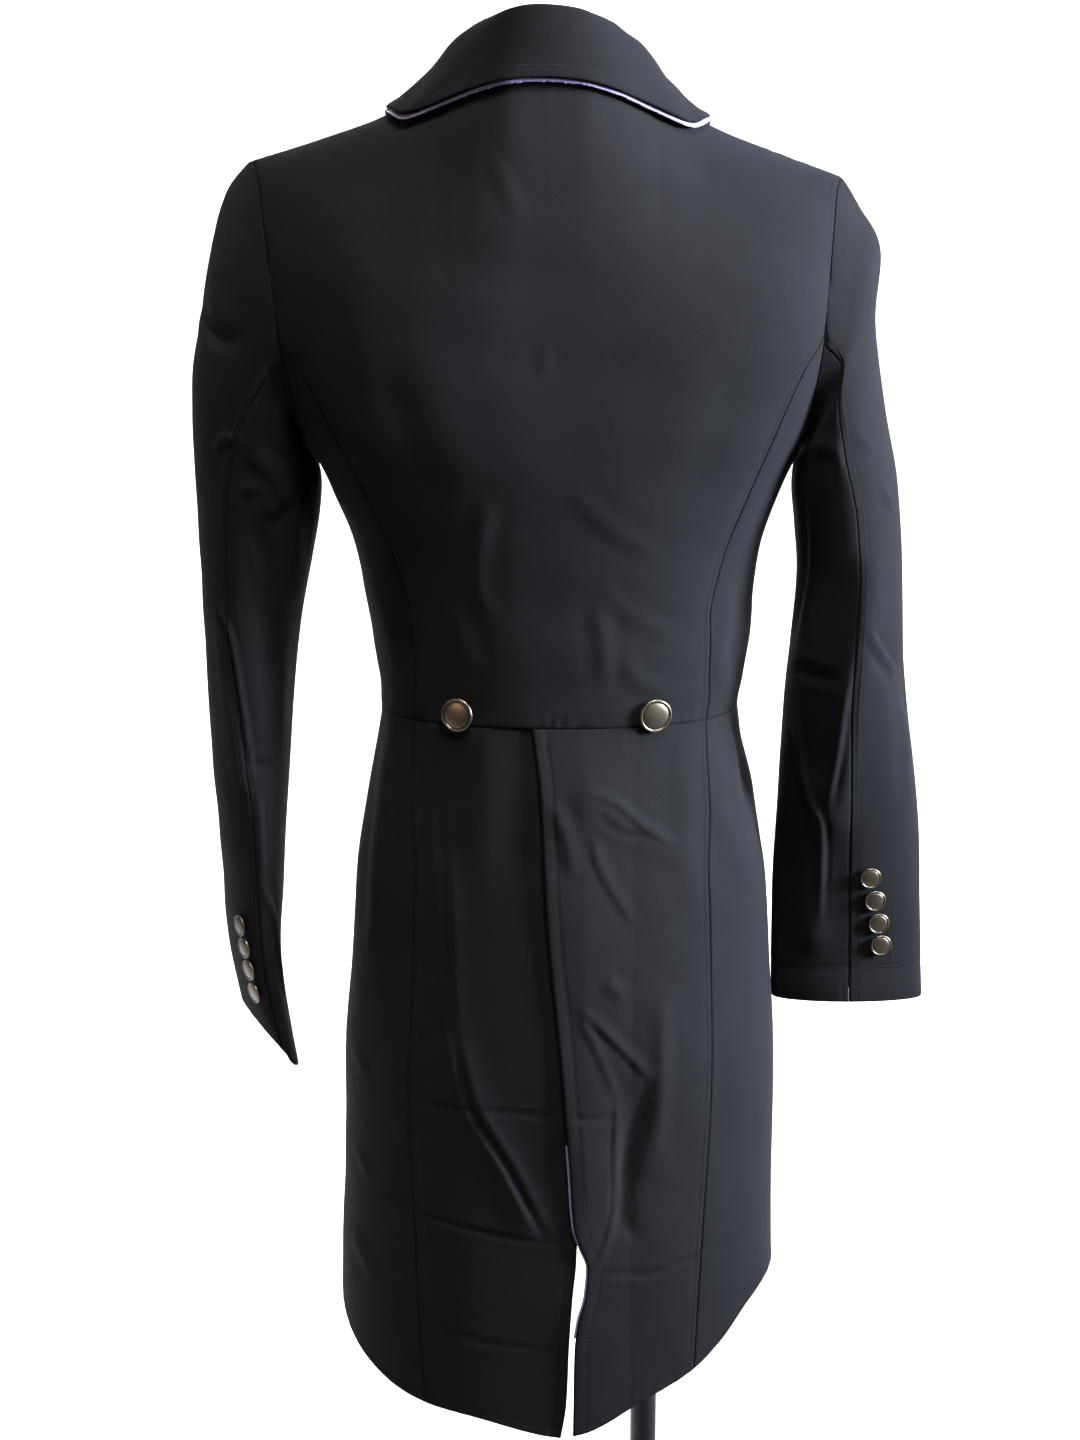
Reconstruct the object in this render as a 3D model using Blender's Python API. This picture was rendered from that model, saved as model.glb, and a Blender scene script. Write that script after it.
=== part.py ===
"""Shadbelly tailcoat of fine black cloth, filled out on a limbless dress form.

Every cloth piece is a thin wall cut from one body surface or one sleeve tube.
The wearer's back faces -Y and the wearer's right is +X. Heights in the tables
are millimetres above the waist seam, and the floor is WAIST_HEIGHT below it.
"""

from collections import namedtuple
from math import pi

import bmesh
import bpy
import numpy as np
from mathutils import Matrix, Vector

MM = 0.001
WAIST_HEIGHT = 1030.0

# Cloth and seams, in millimetres
CLOTH = 1.6
SEAM_GAP = 0.3
LAYER_GAP = 0.4
FELT = 1.0
LAYER = CLOTH + LAYER_GAP
FRONT_LAP_LIFT = 2.7
LAPEL_LIFT_LEFT = 2.4
LAPEL_LIFT_RIGHT = 6.5

# The fronts' waist edge: its level, its dip in the middle and its end at the side
FRONT_HEM = -10.0
FRONT_DIP = 22.0
FRONT_SIDE_HEM = -3.0
LAP_EDGE = 80.0
LAP_SLOPE = 25.0

# Body landmarks, in millimetres above the waist seam
BLADE = 260.0
RIDGE_TILT = 0.027
SHOULDER = 366.0
ARMHOLE_TOP_OF_SIDE = 262.0
UNDERARM = 182.0

# Dress form
FORM_BOTTOM = -190.0
FORM_EASE = 0.8
FORM_HOLLOW = 3.2
FORM_REST_LEVEL = 326.0
FORM_REST_RISE = 30.0
FORM_REST_REACH = 0.78
FORM_REST_FADE = 0.1
NECK_FOOT = 340.0
NECK_HEIGHT = 466.0
NECK_SPREAD = 1.12
NECK_RADIUS = 43.0
NECK_Y = -6.0
POLE_X = 63.0
POLE_RADIUS = 9.5
BASE_RADIUS = 185.0
BASE_THICKNESS = 8.0
BASE_ROUND = 2.5
BASE_CENTRE_X = 20.0

# Buttons: radius, thickness and the dome of the face
BIG_BUTTON = (11.5, 3.2, 0.7)
SMALL_BUTTON = (7.5, 2.6, 0.5)
BUTTON_SIDES = 12

Section = namedtuple("Section", "level half_width back front square lean")
BODY = (
    Section(-515, 157, 121, 112, 2.4, 1),
    Section(-413, 155, 119, 112, 2.4, 0),
    Section(-360, 153.5, 118, 112, 2.4, 0.5),
    Section(-250, 151.5, 115, 110, 2.4, 1.5),
    Section(-185, 147.5, 111, 108, 2.4, 2.5),
    Section(-125, 144, 107, 105, 2.35, 2.5),
    Section(-72, 136.5, 101, 100, 2.3, 2),
    Section(-15, 126, 93, 95, 2.3, 1),
    Section(0, 124, 92, 94, 2.3, 1),
    Section(20, 126.5, 92, 95, 2.3, 2.5),
    Section(47, 131, 93, 97, 2.3, 2.5),
    Section(76, 133.5, 94, 100, 2.35, 1),
    Section(111, 139, 97, 106, 2.4, 0),
    Section(155, 155, 101, 114, 2.6, -1),
    Section(205, 178, 104, 118, 2.9, -3),
    Section(BLADE, 195, 104, 113, 3.0, -5),
    Section(315, 199, 104, 110, 3.0, -7),
    Section(SHOULDER, 199, 104, 108, 3.0, -8),
)

# The neck and shoulder line: height and depth by distance from the middle
Ridge = namedtuple("Ridge", "out height depth")
RIDGE = (
    Ridge(0, 440, -58),
    Ridge(22, 439.5, -55),
    Ridge(44, 437, -42),
    Ridge(62, 431, -25),
    Ridge(74, 424, -14),
    Ridge(105, 401, -6),
    Ridge(150, 383, -2),
    Ridge(200, 366, 0),
)

# Seams across the body, as a share of the way round: 0 the middle of the back,
# 1 the side and 2 the middle of the front
Seam = namedtuple("Seam", "level princess underarm armhole")
SEAMS = (
    Seam(-60, 0.55, 1.15, 0.76),
    Seam(0, 0.596, 1.15, 0.76),
    Seam(45, 0.555, 1.15, 0.76),
    Seam(72, 0.55, 1.15, 0.76),
    Seam(110, 0.583, 1.16, 0.76),
    Seam(160, 0.62, 1.18, 0.76),
    Seam(195, 0.635, 1.20, 0.76),
    Seam(237, 0.68, 1.23, 0.76),
    Seam(262, 0.76, 1.24, 0.76),
    Seam(290, 0.785, 1.215, 0.785),
    Seam(315, 0.82, 1.18, 0.82),
    Seam(340, 0.87, 1.13, 0.87),
    Seam(366, 0.985, 1.015, 0.985),
)

# Rows that neighbouring panels share, and the sleeve's columns round the armhole
SEAM_ROWS = np.linspace(0, ARMHOLE_TOP_OF_SIDE, 10)
SHOULDER_ROWS = np.linspace(ARMHOLE_TOP_OF_SIDE, SHOULDER, 6)
UNDERARM_TURNS = np.linspace(0, pi, 11)

# The inner edge of a front, as a distance from the middle on its own side
FrontEdge = namedtuple("FrontEdge", "level out")
FRONT_EDGE = (
    FrontEdge(-40, -45),
    FrontEdge(110, -45),
    FrontEdge(160, -32),
    FrontEdge(200, -15),
    FrontEdge(250, 12),
    FrontEdge(300, 38),
    FrontEdge(335, 58),
    FrontEdge(366, 74),
)

# How far a lapel reaches out from the roll line
Lapel = namedtuple("Lapel", "level inner outer")
LAPEL = (
    Lapel(112, -45, -40),
    Lapel(150, -35, 8),
    Lapel(195, -17, 52),
    Lapel(245, 9, 92),
    Lapel(285, 30, 120),
    Lapel(312, 44, 128),
)
LAPEL_TOP = 300.0
LAPEL_BOTTOM_LEFT = 245.0
LAPEL_BOTTOM_RIGHT = 114.0
LAPEL_ROLL_GAP = 1.0

# Tail panels: the seam between the two, the left and right hem and the front edge
TailSeam = namedtuple("TailSeam", "level share")
TAIL_SEAM = (
    TailSeam(-515, 0.395),
    TailSeam(-362, 0.447),
    TailSeam(-250, 0.482),
    TailSeam(-116, 0.495),
    TailSeam(-50, 0.555),
    TailSeam(0, 0.596),
)
Hem = namedtuple("Hem", "share left right")
TAIL_HEM = (
    Hem(-0.2, -503, -500),
    Hem(0.0, -500, -497),
    Hem(0.25, -486.5, -471.5),
    Hem(0.40, -480.5, -456),
    Hem(0.50, -474.5, -441),
    Hem(0.65, -461.5, -418.5),
    Hem(0.80, -447, -409),
    Hem(1.00, -425, -404),
    Hem(1.12, -392, -372),
)
TAIL_FRONT_SHARE = 1.12

# The vent: the right tail's edge and the hidden left tail's edge, from the middle
Vent = namedtuple("Vent", "level right left lift")
VENT = (
    Vent(0, -19, 24, 3.4),
    Vent(-40, -14, 26, 3.4),
    Vent(-120, -11, 26, 3.6),
    Vent(-250, 2, 26, 3.8),
    Vent(-302, 6.5, 24, 4.0),
    Vent(-345, 10, 17, 4.0),
    Vent(-360, 15, 12.6, 4.4),
    Vent(-373, 19.9, 12.2, 4.8),
    Vent(-393, 18.6, 10.4, 5.0),
    Vent(-413, 13.8, 9, 4.6),
    Vent(-433, 11.2, 7.7, 4.0),
    Vent(-474, 10, 5.5, 3.8),
    Vent(-515, 9, -2, 3.6),
)
LAP_FADE_START = 18.0
LAP_FADE_END = 50.0
VENT_FACING_FIRST_ROW = 8
VENT_FACING_LAST_ROW = 13
VENT_FACING_PROUD = 1.6

# Sleeve rings: the outer and inner ends in the frontal plane, the middle and half
# depth from front to back, how far the back swings in, and the back seam's place
Ring = namedtuple("Ring", "out_x out_z in_x in_z mid_y half_depth swing seam")
SLEEVE_RIGHT = (
    Ring(195, 356, 167.5, 184.0, 0, 56, 0, 0.29),
    Ring(204, 341, 168.5, 182.0, 0, 58, 0, 0.28),
    Ring(217.5, 314, 166.0, 176.5, 0, 59, 0, 0.27),
    Ring(215, 264, 161.5, 168.0, 0, 60, 0, 0.26),
    Ring(224, 205, 159.8, 150.0, -1, 60, 0, 0.25),
    Ring(233, 155, 162.5, 126.0, -2, 58, 0, 0.24),
    Ring(237, 100, 165.0, 92.0, -4, 54, 0, 0.24),
    Ring(239, 43, 161.2, 43, -5, 50, 0, 0.245),
    Ring(243.5, 0, 157.0, 0, -3, 45, 0, 0.25),
    Ring(250.7, -60, 154.5, -60, 0, 35, 0, 0.25),
    Ring(255, -110, 152.0, -110, 2, 28, 0, 0.25),
    Ring(258, -165, 151.5, -165, 3, 22, 0, 0.25),
    Ring(259.5, -216, 152.5, -216, 3, 18, 0, 0.25),
)
SLEEVE_LEFT = (
    Ring(211, 368, 172.0, 185.5, 0, 56, 0, 0.29),
    Ring(224, 350, 172.5, 183.5, 0, 58, 0, 0.27),
    Ring(234, 318, 170.0, 178.0, 0, 59, 0, 0.25),
    Ring(243, 272, 166.0, 170.0, 0, 60, 0, 0.22),
    Ring(250, 226, 162.8, 156.0, -1, 58, 0, 0.18),
    Ring(249, 170, 164.3, 133.0, -3, 55, 0, 0.15),
    Ring(247, 115, 169.5, 103.0, -5, 52, 0, 0.14),
    Ring(245, 62, 177.5, 60, -7, 50, 0, 0.15),
    Ring(243, 5, 184.0, 5, -9, 49, 2, 0.17),
    Ring(239, -60, 188.5, -60, -11, 49, 5, 0.19),
    Ring(235.5, -120, 193.0, -120, -12, 50, 9, 0.20),
    Ring(230.5, -173, 197.0, -178, -12, 51, 12, 0.20),
    Ring(221.0, -221, 187.5, -257, -10, 52, 15, 0.20),
)
SLEEVE_GIRTH = 290.0
ARMHOLE_UPPER_SHARE = 0.27
ARMHOLE_HALF_SHARE = 0.24

# Collar stations from the middle of the back to the front end
Station = namedtuple("Station", "neck roll_x roll_y roll_z fall_x fall_z")
COLLAR_BACK = (
    Station(0, 0, -62, 476, 0, 425.0),
    Station(24, 18.5, -59, 474, 33, 420.5),
    Station(44, 33, -49, 469, 57, 411.0),
    Station(62, 46, -31, 461, 81, 399.5),
    Station(72, 52, -8, 453, 101, 391.5),
)
COLLAR_FRONT = (
    Station(350, 51.5, 14, 444, 104, 380.0),
    Station(336, 45, 32, 429, 98, 364.0),
)
COLLAR_LEAN = -7.0
COLLAR_LIFT = 6.7
COLLAR_INSIDE = 2.5
FELT_GAP = 0.6
UNDERCOLLAR_PROUD = 2.6

# Large folds of the sleeves, by share round and height: start, end, half width, height
Fold = namedtuple("Fold", "start end half_width height")
SLEEVE_FOLDS_RIGHT = (
    Fold((0.20, 100), (0.29, -75), 13, 3.5),
    Fold((0.13, 40), (0.05, 5), 16, -3.0),
    Fold((0.34, -55), (0.33, -165), 12, 3.0),
)
SLEEVE_FOLDS_LEFT = (
    Fold((0.17, 60), (0.21, -40), 12, 3.0),
    Fold((0.30, 120), (0.34, 40), 16, -3.0),
)
# Folds of the tails, by distance from the middle and level
TAIL_FOLDS = (
    Fold((-78, -100), (-72, -215), 13, 1.8),
    Fold((-70, -230), (-22, -340), 13, 2.4),
    Fold((22, -48), (78, -84), 12, 1.8),
    Fold((48, -255), (44, -345), 13, -2.4),
    Fold((70, -195), (67, -300), 13, 1.8),
)

# Buttons: places, and how far their seats stand off the plain surface
WAIST_BUTTON_X = (-67.5, 64.5)
WAIST_BUTTON_LEVEL = 8.0
WAIST_BUTTON_LIFT = 0.5
CUFF_BUTTON_LIFT = 0.3
FRONT_BUTTON_LIFT = 3.1
CUFF_BUTTON_HEIGHTS = (-122, -139, -156, -172.5)
CUFF_BUTTON_SHARES = (0.205, 0.195, 0.187, 0.182)
LEFT_CUFF_HEIGHTS = (-149, -165, -182, -201)
LEFT_CUFF_SHARES = (0.138, 0.148, 0.152, 0.152)
FRONT_BUTTONS = ((30, 95), (34, 48), (38, 4))

COLOURS = {
    "cloth": ((0.010, 0.011, 0.014, 1.0), 0.85, 0.0),
    "felt": ((0.20, 0.17, 0.43, 1.0), 0.95, 0.0),
    "button": ((0.26, 0.25, 0.23, 1.0), 0.38, 1.0),
    "form": ((0.60, 0.58, 0.54, 1.0), 0.80, 0.0),
    "steel": ((0.10, 0.10, 0.11, 1.0), 0.40, 1.0),
}


def clear_scene():
    """Remove every object that the file starts with."""
    for item in list(bpy.data.objects):
        bpy.data.objects.remove(item, do_unlink=True)


def ease(table, column, at, key="level"):
    """Read one column of a table at any key, on a smooth curve through its rows."""
    keys = np.array([getattr(row, key) for row in table], float)
    values = np.array([getattr(row, column) for row in table], float)
    if keys[0] > keys[-1]:
        keys, values = keys[::-1], values[::-1]
    slopes = np.diff(values) / np.diff(keys)
    tangents = np.empty_like(values)
    tangents[1:-1] = np.where(slopes[1:] * slopes[:-1] > 0,
                              2 * slopes[1:] * slopes[:-1] / (slopes[1:] + slopes[:-1] + 1e-12), 0)
    tangents[0], tangents[-1] = slopes[0], slopes[-1]
    at = np.clip(np.asarray(at, float), keys[0], keys[-1])
    index = np.clip(np.searchsorted(keys, at, side="right") - 1, 0, len(keys) - 2)
    width = keys[index + 1] - keys[index]
    t = (at - keys[index]) / width
    start = (1 + 2 * t) * (1 - t) ** 2 * values[index] + t * (1 - t) ** 2 * width * tangents[index]
    end = t * t * (3 - 2 * t) * values[index + 1] + t * t * (t - 1) * width * tangents[index + 1]
    return start + end


def body(share, level, tilt=RIDGE_TILT):
    """Point on the coat's outer surface.

    share runs round the body: 0 middle back, 1 right side, 2 middle front, and
    negative on the left. level is the height up to BLADE. Above that it is the
    height at the shoulder's tip, and each column rises to the neck and shoulder line,
    which falls towards the right by its tilt.
    """
    share, level = np.broadcast_arrays(np.asarray(share, float), np.asarray(level, float))
    across = np.sin(share * pi / 2)
    square = ease(BODY, "square", level)
    reach = np.clip(np.abs(across), 0, 1)
    depth_share = np.maximum(1 - reach ** square, 0) ** (1 / square)
    at_back = np.abs((share + 2) % 4 - 2) <= 1
    out = across * ease(BODY, "half_width", level)
    x = out + ease(BODY, "lean", level)
    depth = np.where(at_back, -ease(BODY, "back", level), ease(BODY, "front", level))
    y = depth * depth_share
    turn = np.clip((level - BLADE) / (SHOULDER - BLADE), 0, 1.2) * pi / 2
    ridge_height = ease(RIDGE, "height", np.abs(out), "out") - tilt * out
    ridge_depth = ease(RIDGE, "depth", np.abs(out), "out")
    roundness = 1 + 0.6 * (1 - reach)
    fall = np.sign(np.cos(turn)) * np.abs(np.cos(turn)) ** roundness
    y = np.where(level > BLADE, ridge_depth + (y - ridge_depth) * fall, y)
    z = np.where(level > BLADE, BLADE + (ridge_height - BLADE) * np.sin(turn), level)
    return np.stack([x, y, z], -1)


def unit(vectors):
    """Scale vectors to length one."""
    return vectors / np.maximum(np.linalg.norm(vectors, axis=-1, keepdims=True), 1e-9)


def body_normal(share, level):
    """Outward direction of the coat's surface at a place on it."""
    share, level = np.broadcast_arrays(np.asarray(share, float), np.asarray(level, float))
    level = np.minimum(level, SHOULDER - 1.5)

    def slope(place):
        round_step = body(place + 0.01, level) - body(place - 0.01, level)
        rise_step = body(place, level + 1.0) - body(place, level - 1.0)
        return unit(np.cross(round_step, rise_step))

    own = slope(share)
    across_ridge = np.where(share < 0, -2, 2) - share
    return np.where((level > SHOULDER - 2.0)[..., None], unit(own + slope(across_ridge)), own)


def share_at(out, level):
    """Share of the way round at a distance from the body's middle line."""
    ratio = np.clip(np.asarray(out, float) / ease(BODY, "half_width", level), -1, 1)
    return np.arcsin(ratio) * 2 / pi


def level_at(out, height):
    """Level of a place above the blade, from its real height."""
    top = ease(RIDGE, "height", np.abs(out), "out")
    sine = np.clip((height - BLADE) / (top - BLADE), 0, 1)
    return np.where(height > BLADE, BLADE + (SHOULDER - BLADE) * np.arcsin(sine) * 2 / pi, height)


def wall(name, outer, inner, kind):
    """One cloth piece: a closed wall between an outer and an inner grid of points."""
    rows, columns = outer.shape[:2]
    mesh = bmesh.new()
    layers = []
    for grid in (outer, inner):
        lifted = grid + np.array([0.0, 0.0, WAIST_HEIGHT])
        layers.append([[mesh.verts.new(Vector(point) * MM) for point in row] for row in lifted])
    front, back = layers
    for i in range(rows - 1):
        for j in range(columns - 1):
            for far in (((i, j + 1), (i + 1, j + 1)), ((i + 1, j + 1), (i + 1, j))):
                corners = ((i, j),) + far
                mesh.faces.new([front[a][b] for a, b in corners])
                mesh.faces.new([back[a][b] for a, b in reversed(corners)])
    edge = [(0, j) for j in range(columns - 1)]
    edge += [(i, columns - 1) for i in range(rows - 1)]
    edge += [(rows - 1, j) for j in range(columns - 1, 0, -1)]
    edge += [(i, 0) for i in range(rows - 1, 0, -1)]
    for (a, b), (c, d) in zip(edge, edge[1:] + edge[:1]):
        mesh.faces.new([front[c][d], front[a][b], back[a][b], back[c][d]])
    bmesh.ops.recalc_face_normals(mesh, faces=mesh.faces)
    return finish(name, mesh, kind)


def finish(name, mesh, kind):
    """Turn a bmesh into a named object with its own material."""
    data = bpy.data.meshes.new(name)
    mesh.to_mesh(data)
    mesh.free()
    data.shade_smooth()
    data.set_sharp_from_angle(angle=0.7)
    item = bpy.data.objects.new(name, data)
    bpy.context.scene.collection.objects.link(item)
    give_material(item, kind)
    return item


def give_material(item, kind):
    """Give an object a Principled material of its own."""
    colour, roughness, metallic = COLOURS[kind]
    material = bpy.data.materials.new(item.name)
    material.use_nodes = True
    shader = material.node_tree.nodes["Principled BSDF"]
    shader.inputs["Base Color"].default_value = colour
    shader.inputs["Roughness"].default_value = roughness
    shader.inputs["Metallic"].default_value = metallic
    item.data.materials.append(material)


def armhole_place(f):
    """Share and level of the armhole loop on the right side.

    f runs from 0 at the shoulder's tip down the back to 0.5 under the arm and up the front.
    """
    f = np.asarray(f, float) % 1.0
    behind = np.minimum(f, 1 - f)
    fall = np.clip(behind / ARMHOLE_UPPER_SHARE, 0, 1)
    level = SHOULDER - (SHOULDER - ARMHOLE_TOP_OF_SIDE) * fall
    share = ease(SEAMS, "armhole", level)
    swing = np.clip((behind - ARMHOLE_UPPER_SHARE) / (0.5 - ARMHOLE_UPPER_SHARE), 0, 1) * pi / 2
    under = behind > ARMHOLE_UPPER_SHARE
    level = np.where(under, ARMHOLE_TOP_OF_SIDE - (ARMHOLE_TOP_OF_SIDE - UNDERARM) * np.sin(swing), level)
    share = np.where(under, 1 - ARMHOLE_HALF_SHARE * np.cos(swing), share)
    share = np.where(f > 0.5, 2 - share, share)
    return share, level


def armhole_point(f, side):
    """Point on the armhole loop of one side."""
    share, level = armhole_place(f)
    return body(side * share, level)


def ring_points(rings, f, side):
    """Points of the plain sleeve rings, one row for each ring."""
    turn = 2 * pi * f
    rows = []
    for ring in rings:
        middle = np.array([(ring.out_x + ring.in_x) / 2, ring.mid_y, (ring.out_z + ring.in_z) / 2])
        outward = np.array([(ring.out_x - ring.in_x) / 2, 0, (ring.out_z - ring.in_z) / 2])
        backward = np.array([-ring.swing, -ring.half_depth, 0.0])
        row = middle + np.cos(turn)[:, None] * outward + np.sin(turn)[:, None] * backward
        row[:, 0] *= side
        rows.append(row)
    return np.array(rows)


def sleeve_grid(rings, f, side, steps):
    """Outer points of a sleeve: the armhole loop, moved and rounded into the rings."""
    f = np.asarray(f, float)
    plain = ring_points(rings, f, side)
    loop = armhole_point(f, side)
    ends = armhole_point(np.array([0.0, 0.5]), side)
    plain_ends = ring_points(rings, np.array([0.0, 0.5]), side)
    weight = ((1 - np.cos(2 * pi * f)) / 2)[:, None]
    rows = [loop]
    for number, row in enumerate(plain):
        shift = (1 - weight) * (plain_ends[number][0] - ends[0]) + weight * (plain_ends[number][1] - ends[1])
        blend = min(max(number - 0.5, 0) / 3, 1)
        rows.append((1 - blend) * (loop + shift) + blend * row)
    rows = np.array(rows)
    keys = np.arange(len(rows))
    before = np.vstack([rows[:1] * 2 - rows[1:2], rows, rows[-1:] * 2 - rows[-2:-1]])
    result = []
    for step in steps:
        index = int(min(max(np.floor(step), 0), len(keys) - 2))
        t = step - index
        a, b, c, d = before[index], before[index + 1], before[index + 2], before[index + 3]
        result.append(0.5 * (2 * b + (c - a) * t + (2 * a - 5 * b + 4 * c - d) * t * t
                             + (3 * b - a - 3 * c + d) * t ** 3))
    return np.array(result)


def fold_height(folds, f, z, girth):
    """Height of the folds at places across and up, one unit across being girth long."""
    total = np.zeros(np.broadcast(f, z).shape)
    for fold in folds:
        start = np.array([fold.start[0] * girth, fold.start[1]])
        run = np.array([fold.end[0] * girth, fold.end[1]]) - start
        px, pz = f * girth - start[0], z - start[1]
        along = (px * run[0] + pz * run[1]) / (run @ run)
        away = np.hypot(px - np.clip(along, 0, 1) * run[0], pz - np.clip(along, 0, 1) * run[1])
        total = total + fold.height * np.exp(-(away / fold.half_width) ** 2)
    return total


def sleeve_surface(rings, folds, f, side, steps):
    """Outer points and outward directions of a sleeve, with its folds."""
    f = np.asarray(f, float)
    steps = np.asarray(steps, float)

    def place(angle, row):
        return sleeve_grid(rings, angle, side, row)

    last = len(rings)
    points = place(f, steps)
    round_step = place(f + 0.004, steps) - place(f - 0.004, steps)
    low = np.clip(steps - 0.02, 0, last)
    high = np.clip(steps + 0.02, 0, last)
    down_step = place(f, high) - place(f, low)
    normal = unit(np.cross(round_step, down_step)) * side
    height = fold_height(folds, f[None, :] % 1.0, points[..., 2], SLEEVE_GIRTH)
    return points + normal * height[..., None], normal


def seam_normal(f, side, rings):
    """Direction that the bodice and the sleeve share along the armhole."""
    f = np.atleast_1d(np.asarray(f, float))
    share, level = armhole_place(f)
    cloth = body_normal(side * share, np.minimum(level, SHOULDER - 3))
    sleeve = sleeve_surface(rings, (), f, side, [0.5])[1][0]
    return unit(cloth + sleeve)


def armhole_away(f, side):
    """Direction from the bodice's edge into the armhole, along the cloth."""
    f = np.asarray(f, float)
    along = unit(armhole_point(f + 0.004, side) - armhole_point(f - 0.004, side))
    share, level = armhole_place(f)
    away = np.cross(body_normal(side * share, level), along)
    centre = armhole_point(np.linspace(0, 0.96, 24), side).mean(axis=0)
    facing = np.sum(away * (centre - armhole_point(f, side)), axis=-1)
    return away * np.where(facing < 0, -1.0, 1.0)[:, None]


def edge_inset(points, rows=True, columns=True):
    """Draw a grid's edges in by half the seam gap."""
    points = points.copy()
    half = SEAM_GAP / 2
    if columns:
        points[:, 0] += unit(points[:, 1] - points[:, 0]) * half
        points[:, -1] += unit(points[:, -2] - points[:, -1]) * half
    if rows:
        points[0] += unit(points[1] - points[0]) * half
        points[-1] += unit(points[-2] - points[-1]) * half
    return points


def back_panel():
    """The one-piece back, from the neck to the waist seam."""
    levels = np.concatenate([SEAM_ROWS, SHOULDER_ROWS[1:]])
    edge = ease(SEAMS, "princess", levels)
    shares = np.linspace(-1, 1, 19)
    share = edge[:, None] * shares[None, :]
    level = np.repeat(levels[:, None], len(shares), 1)
    outer = body(share, level)
    normal = body_normal(share, level)
    above = levels >= ARMHOLE_TOP_OF_SIDE
    f = ARMHOLE_UPPER_SHARE * (SHOULDER - levels[above]) / (SHOULDER - ARMHOLE_TOP_OF_SIDE)
    normal[above, -1] = seam_normal(f, 1, SLEEVE_RIGHT)
    normal[above, 0] = seam_normal(f, -1, SLEEVE_LEFT)
    outer = edge_inset(outer)
    wall("back", outer, outer - normal * CLOTH, "cloth")


def side_panel(side, word, rings):
    """A side body, from the princess seam round to the underarm seam."""
    angle = UNDERARM_TURNS
    blend = 0.5 - 0.5 * np.cos(angle)
    top = ARMHOLE_TOP_OF_SIDE - (ARMHOLE_TOP_OF_SIDE - UNDERARM) * np.sin(angle)
    rise = SEAM_ROWS[:, None] / ARMHOLE_TOP_OF_SIDE
    level = rise * top[None, :]
    share = (1 - blend) * ease(SEAMS, "princess", level) + blend * ease(SEAMS, "underarm", level)
    loop_share = 1 - ARMHOLE_HALF_SHARE * np.cos(angle)
    share = share + rise ** 3 * (loop_share - share[-1])
    outer = body(side * share, level)
    normal = body_normal(side * share, level)
    under = 0.5 - ARMHOLE_UPPER_SHARE
    f = np.where(angle <= pi / 2, ARMHOLE_UPPER_SHARE + under * angle / (pi / 2),
                 0.5 + under * (angle - pi / 2) / (pi / 2))
    normal[-1] = seam_normal(f, side, rings)
    outer = edge_inset(outer)
    wall("side_" + word, outer, outer - normal * CLOTH, "cloth")


def front_lift(out, side):
    """How far the right front stands off where it laps over the left one."""
    if side < 0:
        return np.zeros_like(out)
    return FRONT_LAP_LIFT * np.clip((LAP_EDGE - out) / LAP_SLOPE, 0, 1)


def front_panel(side, word, rings):
    """A waist-length front, from its edge and roll line to the armhole and underarm."""
    levels = np.concatenate([[FRONT_HEM], SEAM_ROWS, SHOULDER_ROWS[1:]])
    across = np.linspace(0, 1, 11)
    level = np.repeat(levels[:, None], len(across), 1)
    dip = FRONT_HEM - FRONT_DIP * np.sin(across * pi) ** 2
    level[0] = np.where(across < 1, dip, FRONT_SIDE_HEM)
    inner_edge = 2 - share_at(ease(FRONT_EDGE, "out", level), level)
    outer_edge = ease(SEAMS, "underarm", level)
    share = inner_edge + (outer_edge - inner_edge) * across
    outer = body(side * share, level)
    normal = body_normal(side * share, level)
    out = side * outer[..., 0]
    outer = outer + normal * front_lift(out, side)[..., None]
    above = levels >= ARMHOLE_TOP_OF_SIDE
    f = 1 - ARMHOLE_UPPER_SHARE * (SHOULDER - levels[above]) / (SHOULDER - ARMHOLE_TOP_OF_SIDE)
    normal[above, -1] = seam_normal(f, side, rings)
    outer = edge_inset(outer)
    wall("front_" + word, outer, outer - normal * CLOTH, "cloth")


def lapel(side, word, bottom):
    """A lapel turned back from the roll line onto its front."""
    levels = np.linspace(bottom, LAPEL_TOP, 9)
    across = np.linspace(0, 1, 8)
    inner = ease(LAPEL, "inner", levels) + LAPEL_ROLL_GAP
    outer_edge = ease(LAPEL, "outer", levels)
    out = inner[:, None] + (outer_edge - inner)[:, None] * across
    level = np.repeat(levels[:, None], len(across), 1)
    share = 2 - share_at(out, level)
    points = body(side * share, level)
    normal = body_normal(side * share, level)
    points = points + normal * (LAPEL_LIFT_RIGHT if side > 0 else LAPEL_LIFT_LEFT)
    wall("lapel_" + word, points, points - normal * CLOTH, "cloth")


def tail_levels(share, word, rows):
    """Levels from the waist seam to the hem under each column."""
    hem = ease(TAIL_HEM, word, share, "share")
    return np.linspace(0, 1, rows)[:, None] * hem


def tail_back(side, word):
    """A centre tail panel, from the vent to the tail seam."""
    rows, columns = 15, 9
    across = np.linspace(0, 1, columns)
    guess = np.linspace(0, 0.4, columns)
    level = tail_levels(guess, word, rows)
    edge_out = ease(VENT, word, level)
    edge_share = share_at(edge_out, level) if side > 0 else share_at(-edge_out, level)
    seam_share = ease(TAIL_SEAM, "share", level)
    share = edge_share + (seam_share - edge_share) * across
    out = body(side * share, level)
    normal = body_normal(side * share, level)
    folds = fold_height(TAIL_FOLDS, out[..., 0], level, 1.0)
    if side > 0:
        fade = np.clip((LAP_FADE_END - out[..., 0]) / (LAP_FADE_END - LAP_FADE_START), 0, 1)
        folds = folds + ease(VENT, "lift", level) * fade
    out = out + normal * folds[..., None]
    if side > 0:
        vent_facing(out, normal)
    outer = edge_inset(out)
    wall("tail_back_" + word, outer, outer - normal * CLOTH, "cloth")


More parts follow.
